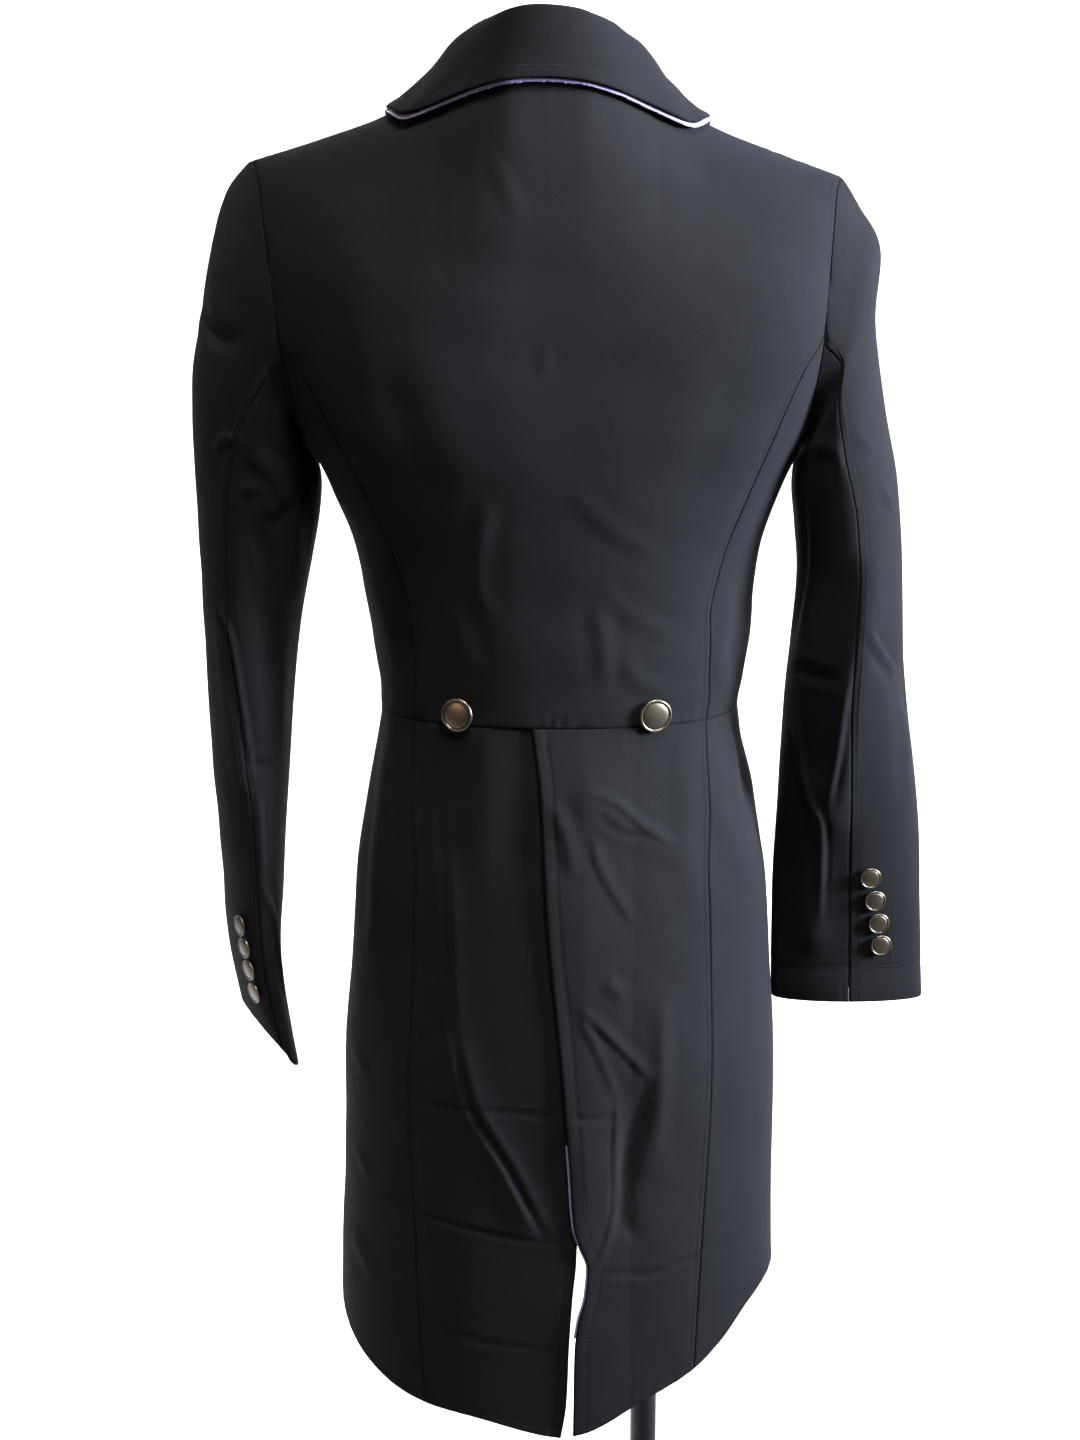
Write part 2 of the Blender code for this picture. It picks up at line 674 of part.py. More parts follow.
def tail_side(side, word):
    """A side tail panel, from the tail seam to the cut-away front edge."""
    rows, columns = 15, 8
    across = np.linspace(0, 1, columns)
    guess = 0.4 + (TAIL_FRONT_SHARE - 0.4) * across
    level = tail_levels(guess, word, rows)
    seam_share = ease(TAIL_SEAM, "share", level)
    share = seam_share + (TAIL_FRONT_SHARE - seam_share) * across
    outer = body(side * share, level)
    normal = body_normal(side * share, level)
    outer = edge_inset(outer + normal * fold_height(TAIL_FOLDS, outer[..., 0], level, 1.0)[..., None])
    wall("tail_side_" + word, outer, outer - normal * CLOTH, "cloth")


def vent_facing(tail, normal):
    """The felt facing inside the right tail's edge, from the tail's own points."""
    rows = slice(VENT_FACING_FIRST_ROW, VENT_FACING_LAST_ROW)
    proud = tail[rows, :1] + unit(tail[rows, :1] - tail[rows, 1:2]) * VENT_FACING_PROUD
    points = np.concatenate([proud, tail[rows, :2]], axis=1)
    directions = np.concatenate([normal[rows, :1], normal[rows, :2]], axis=1)
    outer = points - directions * (CLOTH + SEAM_GAP)
    wall("vent_facing", outer, outer - directions * FELT, "felt")


def sleeve_steps(rings):
    """Places of a sleeve's rows, counted in rings from the armhole."""
    return np.concatenate([[0, 0.5, 1, 1.5, 2], np.arange(2.75, len(rings) - 0.2, 0.75), [len(rings)]])


def sleeve(side, word, rings, folds):
    """A two-piece sleeve: the outer piece and the under piece, closed by two seams."""
    steps = sleeve_steps(rings)
    keys = np.arange(len(rings) + 1)
    seam = np.interp(steps, keys, [ARMHOLE_UPPER_SHARE] + [ring.seam for ring in rings])
    upper = np.linspace(0, ARMHOLE_UPPER_SHARE, len(SHOULDER_ROWS))
    lower = ARMHOLE_UPPER_SHARE + (1 - 2 * ARMHOLE_UPPER_SHARE) * UNDERARM_TURNS / pi
    over_places = np.concatenate([lower[8:] - 1, -upper[::-1][1:], upper[1:]])
    pieces = (("sleeve_outer_", over_places), ("sleeve_under_", lower[:9][::-1]))
    for prefix, places in pieces:
        far = places[0]
        across = (places - far) / (ARMHOLE_UPPER_SHARE - far)
        outer = np.empty((len(steps), len(places), 3))
        normal = np.empty_like(outer)
        for i, step in enumerate(steps):
            f = far + (seam[i] - far) * across
            points, directions = sleeve_surface(rings, folds, f, side, [step])
            outer[i], normal[i] = points[0], directions[0]
            if step == 0:
                outer[i] = armhole_point(f, side) + armhole_away(f, side) * SEAM_GAP
                normal[i] = seam_normal(f, side, rings)
        outer = edge_inset(outer, rows=False)
        wall(prefix + word, outer, outer - normal * CLOTH, "cloth")


def collar_sections():
    """Neck, roll and fall points of the collar on the right half, front end last."""
    sections = []
    for station in COLLAR_BACK:
        neck = np.array([station.neck, ease(RIDGE, "depth", station.neck, "out"),
                         ease(RIDGE, "height", station.neck, "out") + 2 * SEAM_GAP])
        level = level_at(station.fall_x, station.fall_z)
        share = share_at(station.fall_x, level)
        fall = body(share, level, 0) + body_normal(share, level) * COLLAR_LIFT
        fall[0] -= ease(BODY, "lean", level)
        roll = np.array([station.roll_x, station.roll_y, station.roll_z])
        sections.append((neck, roll, fall))
    for station in COLLAR_FRONT:
        out = ease(FRONT_EDGE, "out", station.neck)
        share = 2 - share_at(out, station.neck)
        neck = body(share, station.neck, 0) + np.array([-COLLAR_INSIDE, 0, 0])
        neck[0] -= ease(BODY, "lean", station.neck)
        level = level_at(station.fall_x, station.fall_z)
        share = 2 - share_at(station.fall_x, level)
        fall = body(share, level, 0) + body_normal(share, level) * (COLLAR_LIFT + LAYER)
        fall[0] -= ease(BODY, "lean", level)
        roll = np.array([station.roll_x, station.roll_y, station.roll_z])
        sections.append((neck, roll, fall))
    result = np.array(sections)
    left = result[::-1].copy()
    left[..., 0] *= -1
    both = np.concatenate([left[:-1], result])
    both[..., 2] -= RIDGE_TILT * both[..., 0]
    both[..., 0] += COLLAR_LEAN
    return both


def spline(rows, at):
    """Smooth curve through rows of points, read at fractional row numbers."""
    before = np.concatenate([rows[:1] * 2 - rows[1:2], rows, rows[-1:] * 2 - rows[-2:-1]])
    at = np.asarray(at, float)
    index = np.clip(np.floor(at).astype(int), 0, len(rows) - 2)
    t = (at - index).reshape((-1,) + (1,) * (rows.ndim - 1))
    a, b, c, d = before[index], before[index + 1], before[index + 2], before[index + 3]
    return 0.5 * (2 * b + (c - a) * t + (2 * a - 5 * b + 4 * c - d) * t * t
                  + (3 * b - a - 3 * c + d) * t ** 3)


def collar_surface(along, across):
    """Collar points: up the stand, over the roll and down the fall."""
    sections = spline(collar_sections(), along)
    neck, roll, fall = sections[:, 0], sections[:, 1], sections[:, 2]
    rise = roll - neck
    stand = neck + rise * np.array([0.75, 0.75, 0.72])
    drop = fall - roll
    shoulder = roll + drop * np.array([0.30, 0.30, 0.12])
    profile = np.stack([neck, stand, roll, shoulder, roll + drop * np.array([0.62, 0.62, 0.52]), fall], 0)
    return np.moveaxis(spline(profile, np.asarray(across) * 5), 0, 1)


def clear_of_body(points, lift):
    """Move points out until they stand at least lift off the coat's outer surface."""
    shares = np.concatenate([np.linspace(-1.7, -0.02, 90), np.linspace(0.02, 1.7, 90)])
    levels = np.linspace(250, SHOULDER, 50)
    share, level = np.meshgrid(shares, levels)
    surface = body(share, level).reshape(-1, 3)
    normal = body_normal(share, level).reshape(-1, 3)
    flat = points.reshape(-1, 3).copy()
    for i, point in enumerate(flat):
        nearest = np.argmin(((surface - point) ** 2).sum(axis=1))
        height = (point - surface[nearest]) @ normal[nearest]
        if height < lift:
            flat[i] = point + normal[nearest] * (lift - height)
    return flat.reshape(points.shape)


def grid_normals(points, sign):
    """Outward directions of a plain grid of points."""
    down = np.gradient(points, axis=0)
    along = np.gradient(points, axis=1)
    return unit(np.cross(down, along)) * sign


def collar():
    """The collar and the felt beneath its fall."""
    along = np.linspace(0, 12, 33)
    across = np.concatenate([[0, 0.18, 0.3], np.linspace(0.37, 0.5, 4), [0.6, 0.72, 0.85, 1.0]])
    points = collar_surface(along, across)
    for _ in range(3):
        points[1:-1, 7:] = (points[:-2, 7:] + 2 * points[1:-1, 7:] + points[2:, 7:]) / 4
        points[:, 7:] = clear_of_body(points[:, 7:], COLLAR_LIFT)
    normal = grid_normals(points, 1)
    centre = np.array([COLLAR_LEAN, 0.0, 0.0])
    outside = np.sum(normal[:, -1] * (points[:, -1] - centre) * np.array([1, 1, 0]), axis=-1).mean()
    normal = normal * np.sign(outside)
    outer = points.copy()
    outer[:, -1] += unit(points[:, -2] - points[:, -1]) * UNDERCOLLAR_PROUD
    wall("collar", outer, outer - normal * CLOTH, "cloth")
    felt = points[:, -3:] - normal[:, -3:] * (CLOTH + FELT_GAP)
    wall("undercollar", felt, felt - normal[:, -3:] * FELT, "felt")


def button(name, centre, direction, size):
    """A round shank button with a rim and a low dome, seated on the cloth."""
    radius, thickness, dome = size
    profile = (
        (radius * 0.45, 0.0),
        (radius, thickness * 0.5),
        (radius * 0.97, thickness),
        (radius * 0.40, thickness + dome),
    )
    mesh = bmesh.new()
    rings = []
    for out, up in profile:
        made = bmesh.ops.create_circle(mesh, segments=BUTTON_SIDES, radius=out * MM)
        bmesh.ops.translate(mesh, verts=made["verts"], vec=Vector((0, 0, up * MM)))
        rings.append(made["verts"])
    for low, high in zip(rings, rings[1:]):
        for i in range(BUTTON_SIDES):
            j = (i + 1) % BUTTON_SIDES
            mesh.faces.new((low[i], low[j], high[j], high[i]))
    mesh.faces.new(list(reversed(rings[0])))
    mesh.faces.new(rings[-1])
    bmesh.ops.recalc_face_normals(mesh, faces=mesh.faces)
    seat = np.asarray(centre) + np.asarray(direction) * SEAM_GAP + np.array([0, 0, WAIST_HEIGHT])
    turn = Vector(direction).to_track_quat("Z", "Y").to_matrix().to_4x4()
    item = finish(name, mesh, "button")
    item.data.transform(Matrix.Translation(Vector(seat) * MM) @ turn)
    return item


def buttons():
    """Waist, cuff and front buttons."""
    for word, x in zip(("left", "right"), WAIST_BUTTON_X):
        level = WAIST_BUTTON_LEVEL
        share = float(share_at(x - ease(BODY, "lean", level), level))
        centre, direction = body(share, level), body_normal(share, level)
        button("waist_button_" + word, centre + direction * WAIST_BUTTON_LIFT, direction, BIG_BUTTON)
    cuffs = (
        (1, "right", SLEEVE_RIGHT, SLEEVE_FOLDS_RIGHT, CUFF_BUTTON_HEIGHTS, CUFF_BUTTON_SHARES),
        (-1, "left", SLEEVE_LEFT, SLEEVE_FOLDS_LEFT, LEFT_CUFF_HEIGHTS, LEFT_CUFF_SHARES),
    )
    for side, word, rings, folds, heights, shares in cuffs:
        ring_heights = np.array([(ring.out_z + ring.in_z) / 2 for ring in rings])
        for number, (height, share) in enumerate(zip(heights, shares), 1):
            step = 1 + np.interp(-height, -ring_heights, np.arange(len(rings)))
            rows = sleeve_steps(rings)
            below = int(np.searchsorted(rows, step))
            pair = rows[below - 1:below + 1]
            points, normals = sleeve_surface(rings, folds, np.array([share]), side, pair)
            t = (step - pair[0]) / (pair[1] - pair[0])
            centre = points[0, 0] * (1 - t) + points[1, 0] * t
            direction = unit(normals[0, 0] * (1 - t) + normals[1, 0] * t)
            seat = centre + direction * CUFF_BUTTON_LIFT
            button("cuff_button_%s_%d" % (word, number), seat, direction, SMALL_BUTTON)
    for side, word in ((-1, "left"), (1, "right")):
        for number, (out, level) in enumerate(FRONT_BUTTONS, 1):
            share = side * (2 - share_at(out, level))
            centre = body(share, level)
            direction = body_normal(share, level)
            seat = centre + direction * FRONT_BUTTON_LIFT
            button("front_button_%s_%d" % (word, number), seat, direction, BIG_BUTTON)


def form():
    """The limbless torso with its neck, the pole and the round base."""
    levels = np.concatenate([np.linspace(FORM_BOTTOM, 0, 6), SEAM_ROWS[1:], SHOULDER_ROWS[1:]])
    quarter = np.linspace(0, 1, 8)
    shares = np.concatenate([quarter, 2 - quarter[::-1][1:], 2 + quarter[1:], 4 - quarter[::-1][1:-1]])
    share = np.repeat(shares[None, :], len(levels), 0)
    level = np.repeat(levels[:, None], len(shares), 1)
    wrapped = (share + 2) % 4 - 2
    normal = body_normal(wrapped, level)
    reach = np.abs(np.sin(wrapped * pi / 2))
    high = np.clip((level - FORM_REST_LEVEL) / FORM_REST_RISE, 0, 1)
    touching = high * np.clip((reach - FORM_REST_REACH) / FORM_REST_FADE, 0, 1)
    hollow = FORM_HOLLOW * (1 - touching)
    points = body(wrapped, level) - normal * (CLOTH + FORM_EASE + hollow)[..., None]
    points[0, :, 2] = FORM_BOTTOM
    tips = np.abs(np.abs(wrapped[-1]) - 1) < 1e-6
    points[-1, tips, 2] -= CLOTH + FORM_EASE
    mesh = bmesh.new()
    rings = []
    for row in points + np.array([0, 0, WAIST_HEIGHT]):
        rings.append([mesh.verts.new(Vector(point) * MM) for point in row])
    count = len(shares)
    for low, high in zip(rings, rings[1:]):
        for i in range(count):
            j = (i + 1) % count
            mesh.faces.new((low[i], low[j], high[j], high[i]))
    mesh.faces.new(list(reversed(rings[0])))
    bmesh.ops.remove_doubles(mesh, verts=rings[-1], dist=0.0001)
    bmesh.ops.recalc_face_normals(mesh, faces=mesh.faces)
    torso = finish("form_torso", mesh, "form")
    neck = bmesh.new()
    tall = NECK_HEIGHT - NECK_FOOT
    bmesh.ops.create_cone(neck, cap_ends=True, segments=24, radius1=NECK_RADIUS * NECK_SPREAD * MM,
                          radius2=NECK_RADIUS * MM, depth=tall * MM)
    middle = Vector((COLLAR_LEAN, NECK_Y, NECK_FOOT + WAIST_HEIGHT + tall / 2))
    bmesh.ops.translate(neck, verts=neck.verts, vec=middle * MM)
    stub = finish("form_neck_cutter", neck, "form")
    stub.hide_render = True
    stub.display_type = "WIRE"
    join = torso.modifiers.new("Neck", "BOOLEAN")
    join.operation = "UNION"
    join.solver = "EXACT"
    join.object = stub
    pole_top = FORM_BOTTOM + WAIST_HEIGHT - SEAM_GAP
    pole_bottom = BASE_THICKNESS + SEAM_GAP
    round_bar("form_pole", POLE_X, POLE_RADIUS, pole_bottom, pole_top, 24)
    round_bar("form_base", BASE_CENTRE_X, BASE_RADIUS, 0.0, BASE_THICKNESS, 64, bevel=BASE_ROUND)


def round_bar(name, x, radius, bottom, top, sides, bevel=0.0):
    """An upright round bar or disc."""
    mesh = bmesh.new()
    bmesh.ops.create_cone(mesh, cap_ends=True, segments=sides, radius1=radius * MM,
                          radius2=radius * MM, depth=(top - bottom) * MM)
    bmesh.ops.translate(mesh, verts=mesh.verts, vec=Vector((x * MM, 0, (top + bottom) / 2 * MM)))
    item = finish(name, mesh, "steel")
    if bevel:
        edge = item.modifiers.new("Rim", "BEVEL")
        edge.width = bevel * MM
        edge.segments = 2
        edge.limit_method = "ANGLE"
    return item


def main():
    """Build the coat and its form."""
    clear_scene()
    back_panel()
    sides = ((-1, "left", SLEEVE_LEFT, SLEEVE_FOLDS_LEFT, LAPEL_BOTTOM_LEFT),
             (1, "right", SLEEVE_RIGHT, SLEEVE_FOLDS_RIGHT, LAPEL_BOTTOM_RIGHT))
    for side, word, rings, folds, lapel_bottom in sides:
        side_panel(side, word, rings)
        front_panel(side, word, rings)
        lapel(side, word, lapel_bottom)
        tail_back(side, word)
        tail_side(side, word)
        sleeve(side, word, rings, folds)
    collar()
    buttons()
    form()


main()
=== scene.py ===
"""Shadbelly tailcoat on a limbless dress form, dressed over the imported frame.

Every cloth piece is a thin shell worked out on a grid: one body surface gives the
bodice and the tails, and one tube gives each sleeve. The shells carry the rolled
edges, seam puckers, stitch channels and pressed creases of sewn cloth. The wearer's
back faces -Y and the wearer's right is +X. Heights in the tables are millimetres
above the waist seam.
"""

import logging
from dataclasses import dataclass, field
from enum import Enum
from functools import cache
from math import pi, radians
from typing import Callable, NamedTuple, Sequence

import bpy
import numpy as np
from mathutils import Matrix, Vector


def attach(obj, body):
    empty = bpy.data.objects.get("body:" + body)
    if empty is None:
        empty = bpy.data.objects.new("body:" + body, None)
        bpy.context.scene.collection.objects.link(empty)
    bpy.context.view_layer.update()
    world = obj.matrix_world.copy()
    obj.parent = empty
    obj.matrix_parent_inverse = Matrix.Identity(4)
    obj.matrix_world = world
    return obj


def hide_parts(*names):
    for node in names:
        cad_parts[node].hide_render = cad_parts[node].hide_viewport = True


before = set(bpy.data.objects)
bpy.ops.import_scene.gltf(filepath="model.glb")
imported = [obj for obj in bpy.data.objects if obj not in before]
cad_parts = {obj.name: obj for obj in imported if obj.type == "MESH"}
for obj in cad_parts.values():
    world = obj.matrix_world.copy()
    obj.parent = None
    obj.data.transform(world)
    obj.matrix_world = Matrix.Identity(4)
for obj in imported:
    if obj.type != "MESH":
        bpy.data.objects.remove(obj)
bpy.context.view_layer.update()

LOG = logging.getLogger("coat")
MM = 0.001
WAIST_HEIGHT = 1030.0
# Near-black mixed into the cloth as painted shade at seams, edges and stitch rows
SHADE_BLACK = (0.0006, 0.0006, 0.0008, 1.0)


class Slot(Enum):
    """Material slots of the record."""

    CLOTH = "cloth"
    FELT = "felt"
    BUTTON = "button"
    FORM = "form"
    STEEL = "steel"


class Side(Enum):
    """The wearer's two sides, as the sign of X."""

    LEFT = -1
    RIGHT = 1

    @property
    def word(self) -> str:
        """The side's name in a node."""
        return self.name.lower()


class Edge(Enum):
    """The four edges of a panel's grid."""

    FIRST = "first column"
    LAST = "last column"
    LOW = "first row"
    HIGH = "last row"


class Section(NamedTuple):
    """One level of the body: half width, depths, squareness and sideways lean."""

    level: float
    half_width: float
    back: float
    front: float
    square: float
    lean: float


class Ridge(NamedTuple):
    """Height and depth of the shoulder line at a distance from the middle."""

    out: float
    height: float
    depth: float


class Seam(NamedTuple):
    """Shares of the way round at which the body's seams lie."""

    level: float
    princess: float
    underarm: float
    armhole: float


class FrontEdge(NamedTuple):
    """Distance of a front's edge from the middle."""

    level: float
    out: float


class LapelReach(NamedTuple):
    """Inner and outer edges of a lapel."""

    level: float
    inner: float
    outer: float


class TailSeam(NamedTuple):
    """Share of the way round of the seam between two tail panels."""

    level: float
    share: float


class Hem(NamedTuple):
    """Level of the hem on each side."""

    share: float
    left: float
    right: float


class Vent(NamedTuple):
    """Edges of the two tails at the vent, and how far the upper one stands off."""

    level: float
    right: float
    left: float
    lift: float


class Ring(NamedTuple):
    """One sleeve ring: its ends in the frontal plane, depth, swing and back seam."""

    out_x: float
    out_z: float
    in_x: float
    in_z: float
    mid_y: float
    half_depth: float
    swing: float
    seam: float


class Station(NamedTuple):
    """One collar station: neck, roll and fall."""

    neck: float
    roll_x: float
    roll_y: float
    roll_z: float
    fall_x: float
    fall_z: float


class Fold(NamedTuple):
    """A large fold that the CAD part has too: a bell round a straight line."""

    start: tuple[float, float]
    end: tuple[float, float]
    half_width: float
    height: float


class Crease(NamedTuple):
    """A soft ridge, or a trough where height is negative, along a curved path.

    skew is the width of the path's right side as a share of its left side's.
    """

    path: tuple[tuple[float, float], ...]
    half_width: float
    height: float
    skew: float = 1.0


def table(kind: type, *rows: tuple) -> tuple:
    """Rows of one kind."""
    return tuple(kind(*row) for row in rows)


BODY = table(
    Section, (-515, 157, 121, 112, 2.4, 1), (-413, 155, 119, 112, 2.4, 0),
    (-360, 153.5, 118, 112, 2.4, 0.5), (-250, 151.5, 115, 110, 2.4, 1.5),
    (-185, 147.5, 111, 108, 2.4, 2.5), (-125, 144, 107, 105, 2.35, 2.5),
    (-72, 136.5, 101, 100, 2.3, 2), (-15, 126, 93, 95, 2.3, 1), (0, 124, 92, 94, 2.3, 1),
    (20, 126.5, 92, 95, 2.3, 2.5), (47, 131, 93, 97, 2.3, 2.5), (76, 133.5, 94, 100, 2.35, 1),
    (111, 139, 97, 106, 2.4, 0), (155, 155, 101, 114, 2.6, -1), (205, 178, 104, 118, 2.9, -3),
    (260, 195, 104, 113, 3.0, -5), (315, 199, 104, 110, 3.0, -7), (366, 199, 104, 108, 3.0, -8),
)
RIDGE = table(
    Ridge, (0, 440, -58), (22, 439.5, -55), (44, 437, -42), (62, 431, -25), (74, 424, -14),
    (105, 401, -6), (150, 383, -2), (200, 366, 0),
)
SEAMS = table(
    Seam, (-60, 0.55, 1.15, 0.76), (0, 0.596, 1.15, 0.76), (45, 0.555, 1.15, 0.76),
    (72, 0.55, 1.15, 0.76), (110, 0.583, 1.16, 0.76), (160, 0.62, 1.18, 0.76),
    (195, 0.635, 1.20, 0.76), (237, 0.68, 1.23, 0.76), (262, 0.76, 1.24, 0.76),
    (290, 0.785, 1.215, 0.785), (315, 0.82, 1.18, 0.82), (340, 0.87, 1.13, 0.87),
    (366, 0.985, 1.015, 0.985),
)
FRONT_EDGE = table(
    FrontEdge, (-40, -45), (110, -45), (160, -32), (200, -15), (250, 12), (300, 38), (335, 58),
    (366, 74),
)
LAPEL = table(
    LapelReach, (112, -45, -40), (150, -35, 8), (195, -17, 52), (245, 9, 92), (285, 30, 120),
    (312, 44, 128),
)
TAIL_SEAM = table(
    TailSeam, (-515, 0.395), (-362, 0.447), (-250, 0.482), (-116, 0.495), (-50, 0.555), (0, 0.596),
)
TAIL_HEM = table(
    Hem, (-0.2, -503, -500), (0.0, -500, -497), (0.25, -486.5, -471.5), (0.40, -480.5, -456),
    (0.50, -474.5, -441), (0.65, -461.5, -418.5), (0.80, -447, -409), (1.00, -425, -404),
    (1.12, -392, -372),
)
VENT = table(
    Vent, (0, -19, 24, 3.4), (-40, -14, 26, 3.4), (-120, -11, 26, 3.6), (-250, 2, 26, 3.8),
    (-302, 6.5, 24, 4.0), (-345, 10, 17, 4.0), (-360, 15, 12.6, 4.4), (-373, 19.9, 12.2, 4.8),
    (-393, 18.6, 10.4, 5.0), (-413, 13.8, 9, 4.6), (-433, 11.2, 7.7, 4.0), (-474, 10, 5.5, 3.8),
    (-515, 9, -2, 3.6),
)
SLEEVE_RIGHT = table(
    Ring, (195, 356, 167.5, 184.0, 0, 56, 0, 0.29), (204, 341, 168.5, 182.0, 0, 58, 0, 0.28),
    (217.5, 314, 166.0, 176.5, 0, 59, 0, 0.27), (215, 264, 161.5, 168.0, 0, 60, 0, 0.26),
    (224, 205, 159.8, 150.0, -1, 60, 0, 0.25), (233, 155, 162.5, 126.0, -2, 58, 0, 0.24),
    (237, 100, 165.0, 92.0, -4, 54, 0, 0.24), (239, 43, 161.2, 43, -5, 50, 0, 0.245),
    (243.5, 0, 157.0, 0, -3, 45, 0, 0.25), (250.7, -60, 154.5, -60, 0, 35, 0, 0.25),
    (255, -110, 152.0, -110, 2, 28, 0, 0.25), (258, -165, 151.5, -165, 3, 22, 0, 0.25),
    (259.5, -216, 152.5, -216, 3, 18, 0, 0.25),
)
SLEEVE_LEFT = table(
    Ring, (211, 368, 172.0, 185.5, 0, 56, 0, 0.31), (224, 350, 172.5, 183.5, 0, 58, 0, 0.305),
    (234, 318, 170.0, 178.0, 0, 59, 0, 0.29), (243, 272, 166.0, 170.0, 0, 60, 0, 0.258),
    (250, 226, 162.8, 156.0, -1, 58, 0, 0.225), (249, 170, 164.3, 133.0, -3, 55, 0, 0.19),
    (247, 115, 169.5, 103.0, -5, 52, 0, 0.18), (245, 62, 177.5, 60, -7, 50, 0, 0.19),
    (243, 5, 184.0, 5, -9, 49, 2, 0.222), (239, -60, 188.5, -60, -11, 49, 5, 0.24),
    (235.5, -120, 193.0, -120, -12, 50, 9, 0.24), (230.5, -173, 197.0, -178, -12, 51, 12, 0.235),
    (221.0, -221, 187.5, -257, -10, 52, 15, 0.23),
)
COLLAR_BACK = table(
    Station, (0, 0, -62, 476, 0, 425.0), (24, 18.5, -59, 474, 33, 420.5),
    (44, 33, -49, 469, 57, 411.0), (62, 46, -31, 461, 81, 399.5), (72, 52, -8, 453, 101, 391.5),
)
COLLAR_FRONT = table(
    Station, (350, 51.5, 14, 444, 104, 380.0), (336, 45, 32, 429, 98, 364.0),
)

# Folds of the sleeves, by share round and height, and of the tails, by distance and level
SLEEVE_FOLDS_RIGHT = table(
    Fold, ((0.20, 100), (0.29, -75), 13, 3.5), ((0.13, 40), (0.05, 5), 16, -3.0),
    ((0.34, -55), (0.33, -165), 12, 3.0),
)
SLEEVE_FOLDS_LEFT = table(
    Fold, ((0.17, 60), (0.21, -40), 12, 3.0), ((0.30, 120), (0.34, 40), 16, -3.0),
)
TAIL_FOLDS = table(
    Fold, ((-78, -100), (-72, -215), 13, 1.8), ((-70, -230), (-22, -340), 13, 2.4),
    ((22, -48), (78, -84), 12, 1.8), ((48, -255), (44, -345), 13, -2.4),
    ((70, -195), (67, -300), 13, 1.8),
)
SLEEVE_CREASES_RIGHT = table(
    Crease,
    (((0.212, 60), (0.153, 44), (0.083, 24)), 4.5, 2.2, 0.6),
    (((0.163, 158), (0.101, 143)), 4, 1.2),
    (((0.244, 194), (0.181, 184)), 4, 1.2),
    (((0.272, 168), (0.311, 185), (0.40, 184)), 5, 1.4),
    (((0.41, 180), (0.42, 120), (0.47, 40)), 6, -1.8, 0.6),
    (((0.46, 30), (0.34, 27), (0.27, 26)), 4.5, -1.6),
    (((0.429, 9), (0.384, -55), (0.334, -87), (0.336, -159)), 5, 2.0, 0.5),
    (((0.252, 40), (0.285, -19), (0.322, -70)), 7, 2.6, 0.45),
    (((0.083, 26), (0.067, -9), (0.072, -69)), 6, 1.0),
    (((0.34, 312), (0.26, 302), (0.165, 299)), 6, 1.0),
    (((0.221, 342), (0.179, 322)), 6, -1.0),
    (((0.62, 60), (0.74, 20)), 7, -1.8),
    (((0.66, 20), (0.78, -30)), 8, 1.6),
    (((0.90, 70), (0.80, 40)), 6, -1.6),
    (((0.85, -90), (0.80, -150)), 9, 1.2),
)
SLEEVE_CREASES_LEFT = table(
    Crease,
    (((0.285, 246), (0.315, 215), (0.35, 178)), 4, 2.0, 0.5),
    (((0.315, 240), (0.36, 205), (0.40, 168)), 4.5, -2.2),
    (((0.235, 176), (0.265, 190), (0.34, 188)), 4, 2.0, 0.5),
    (((0.24, 140), (0.27, 156), (0.335, 158)), 4, 2.0, 0.5),
    (((0.40, 152), (0.355, 136), (0.315, 133)), 5, -2.4),
    (((0.30, 205), (0.37, 150), (0.41, 90)), 6, 1.6, 0.6),
    (((0.05, 280), (0.13, 262), (0.22, 250)), 7, -2.4, 0.7),
    (((0.096, 85), (0.19, 62), (0.225, 24), (0.255, -30), (0.27, -50)), 4, 2.4, 0.4),
    (((0.25, -33), (0.336, -32)), 3.5, -1.4),
    (((0.27, -47), (0.262, -96), (0.247, -132)), 4.5, 2.0, 0.5),
    (((0.24, -111), (0.30, -150), (0.33, -205)), 5, 2.4, 0.45),
    (((0.28, 120), (0.315, 88)), 5, 1.3),
    (((0.335, 104), (0.391, 45), (0.41, -25)), 8, 1.3),
    (((0.62, 70), (0.72, 25)), 7, -1.8),
    (((0.70, 0), (0.80, -50)), 8, 1.5),
)
# Creases of the bodice's back, by distance across and height
BACK_CREASES = table(
    Crease,
    (((-45, 381), (-35, 362), (-24, 338)), 5, 0.35),
    (((-46, 159), (-54, 106), (-46, 72)), 6, 0.9),
    (((7, 163), (37, 136), (72, 114)), 6, 0.6),
    (((24, 99), (47, 79), (84, 58)), 6, 0.65),
    (((26, 89), (33, 31)), 6, 0.9),
    (((-72, 82), (-59, 40)), 7, 0.9),
    (((40, 55), (56, 30), (84, 22)), 6, 0.8),
    (((-12, 240), (-6, 258)), 4, 0.5),
    (((-120, 250), (-80, 150)), 14, -0.9),
    (((120, 250), (86, 150)), 14, -0.9),
    (((-70, 388), (-130, 352)), 10, -0.8),
    (((60, 388), (125, 350)), 10, -0.8),
)
SIDE_CREASES = table(
    Crease,
    (((118, 92), (112, 40), (116, 8)), 6, 1.2),
    (((131, 76), (121, 30)), 5, 1.0),
    (((-121, 84), (-110, 30)), 6, 1.2),
)
